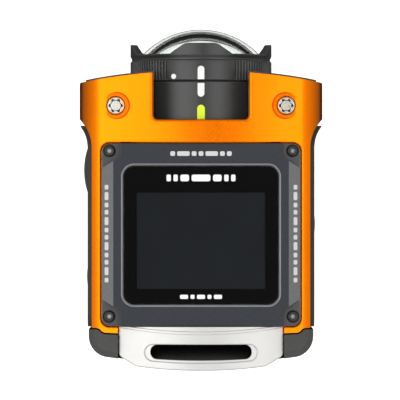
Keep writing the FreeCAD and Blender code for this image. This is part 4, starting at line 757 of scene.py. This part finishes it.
# ---------------------------------------------------------------- studio
def make_glow(name, strength, diffuse):
    """A pale floor surface that glows by itself, so that it stays white."""
    material, tree, shader, place = start_material(name, Roughness=0.9, Specular_IOR_Level=0.0)
    mottle = noise(tree, place, 400.0)
    plug(tree, shader, "Base Color", blend_colours(tree, mottle, grey(diffuse), grey(diffuse * 0.98)))
    shader.inputs["Emission Color"].default_value = grey(1.0)
    shader.inputs["Emission Strength"].default_value = strength
    return material


def add_floor(name, corners, transmits):
    """One flat floor piece, never mirrored, and seen through clear materials only if it transmits."""
    mesh = bpy.data.meshes.new(name)
    mesh.from_pydata(corners, [], [tuple(range(len(corners)))])
    mesh.materials.append(FLOOR_WHITE)
    floor = bpy.data.objects.new(name, mesh)
    bpy.context.scene.collection.objects.link(floor)
    floor.visible_glossy = False
    floor.visible_transmission = transmits


def make_floor():
    """A wide white floor that clear materials don't see, and a small disc on it that they do."""
    half = FLOOR_HALF
    low = CAD_BOX[0].z - FLOOR_DROP
    wide = low - FLOOR_DROP
    square = [(-half, -half, wide), (half, -half, wide), (half, half, wide), (-half, half, wide)]
    add_floor("floor", square, False)
    turns = [2.0 * math.pi * k / NEAR_FLOOR_SIDES for k in range(NEAR_FLOOR_SIDES)]
    disc = [(NEAR_FLOOR_RADIUS * math.cos(t), NEAR_FLOOR_RADIUS * math.sin(t), low) for t in turns]
    add_floor("floor_disc", disc, True)


def make_world():
    """Soft light all round, dim straight overhead and nearly black below."""
    world = bpy.data.worlds.new("studio")
    bpy.context.scene.world = world
    world.use_nodes = True
    tree = world.node_tree
    background = next(n for n in tree.nodes if n.type == "BACKGROUND")
    height = split_xyz(tree, add(tree, "ShaderNodeTexCoord", {}, output="Generated"))[2]
    ramp = tree.nodes.new("ShaderNodeValToRGB")
    tree.links.new(remap(tree, height, -1.0, 1.0, 0.0, 1.0), ramp.inputs["Fac"])
    elements = ramp.color_ramp.elements
    while len(elements) < len(WORLD_LEVELS):
        elements.new(0.5)
    for element, (position, level) in zip(elements, WORLD_LEVELS):
        element.position = position
        element.color = grey(level)
    tree.links.new(ramp.outputs["Color"], background.inputs["Color"])


def make_softbox(name, near_deg, far_deg, radiance):
    """A large area light aimed at the object, seen from there between two angles from straight up."""
    distance, depth = SOFTBOX_DISTANCE, SOFTBOX_DEPTH
    side = math.radians(0.5 * (near_deg + far_deg))
    width = 2.0 * distance * math.tan(math.radians(0.5 * abs(far_deg - near_deg)))
    light = bpy.data.lights.new(name, "AREA")
    light.shape = "RECTANGLE"
    light.size = depth
    light.size_y = width
    light.energy = radiance * math.pi * width * depth
    lamp = bpy.data.objects.new(name, light)
    bpy.context.scene.collection.objects.link(lamp)
    lamp.location = (distance * math.sin(side), 0.0, distance * math.cos(side))
    lamp.rotation_mode = "QUATERNION"
    lamp.rotation_quaternion = lamp.location.to_track_quat("Z", "Y")
    lamp.visible_camera = False


def make_camera():
    data = bpy.data.cameras.new("camera")
    data.lens = CAMERA_LENS
    data.sensor_width = CAMERA_SENSOR
    data.clip_start, data.clip_end = CAMERA_CLIP
    shot = bpy.data.objects.new("camera", data)
    shot.location = CAMERA_PLACE
    shot.rotation_euler = (0.0, 0.0, CAMERA_TURN)
    bpy.context.scene.collection.objects.link(shot)
    bpy.context.scene.camera = shot


FLOOR_WHITE = make_glow("floor_white", FLOOR_GLOW, FLOOR_TONE)
make_world()
make_floor()
for softbox in SOFTBOXES:
    make_softbox(*softbox)
make_camera()
bpy.context.scene.view_settings.view_transform = "Standard"
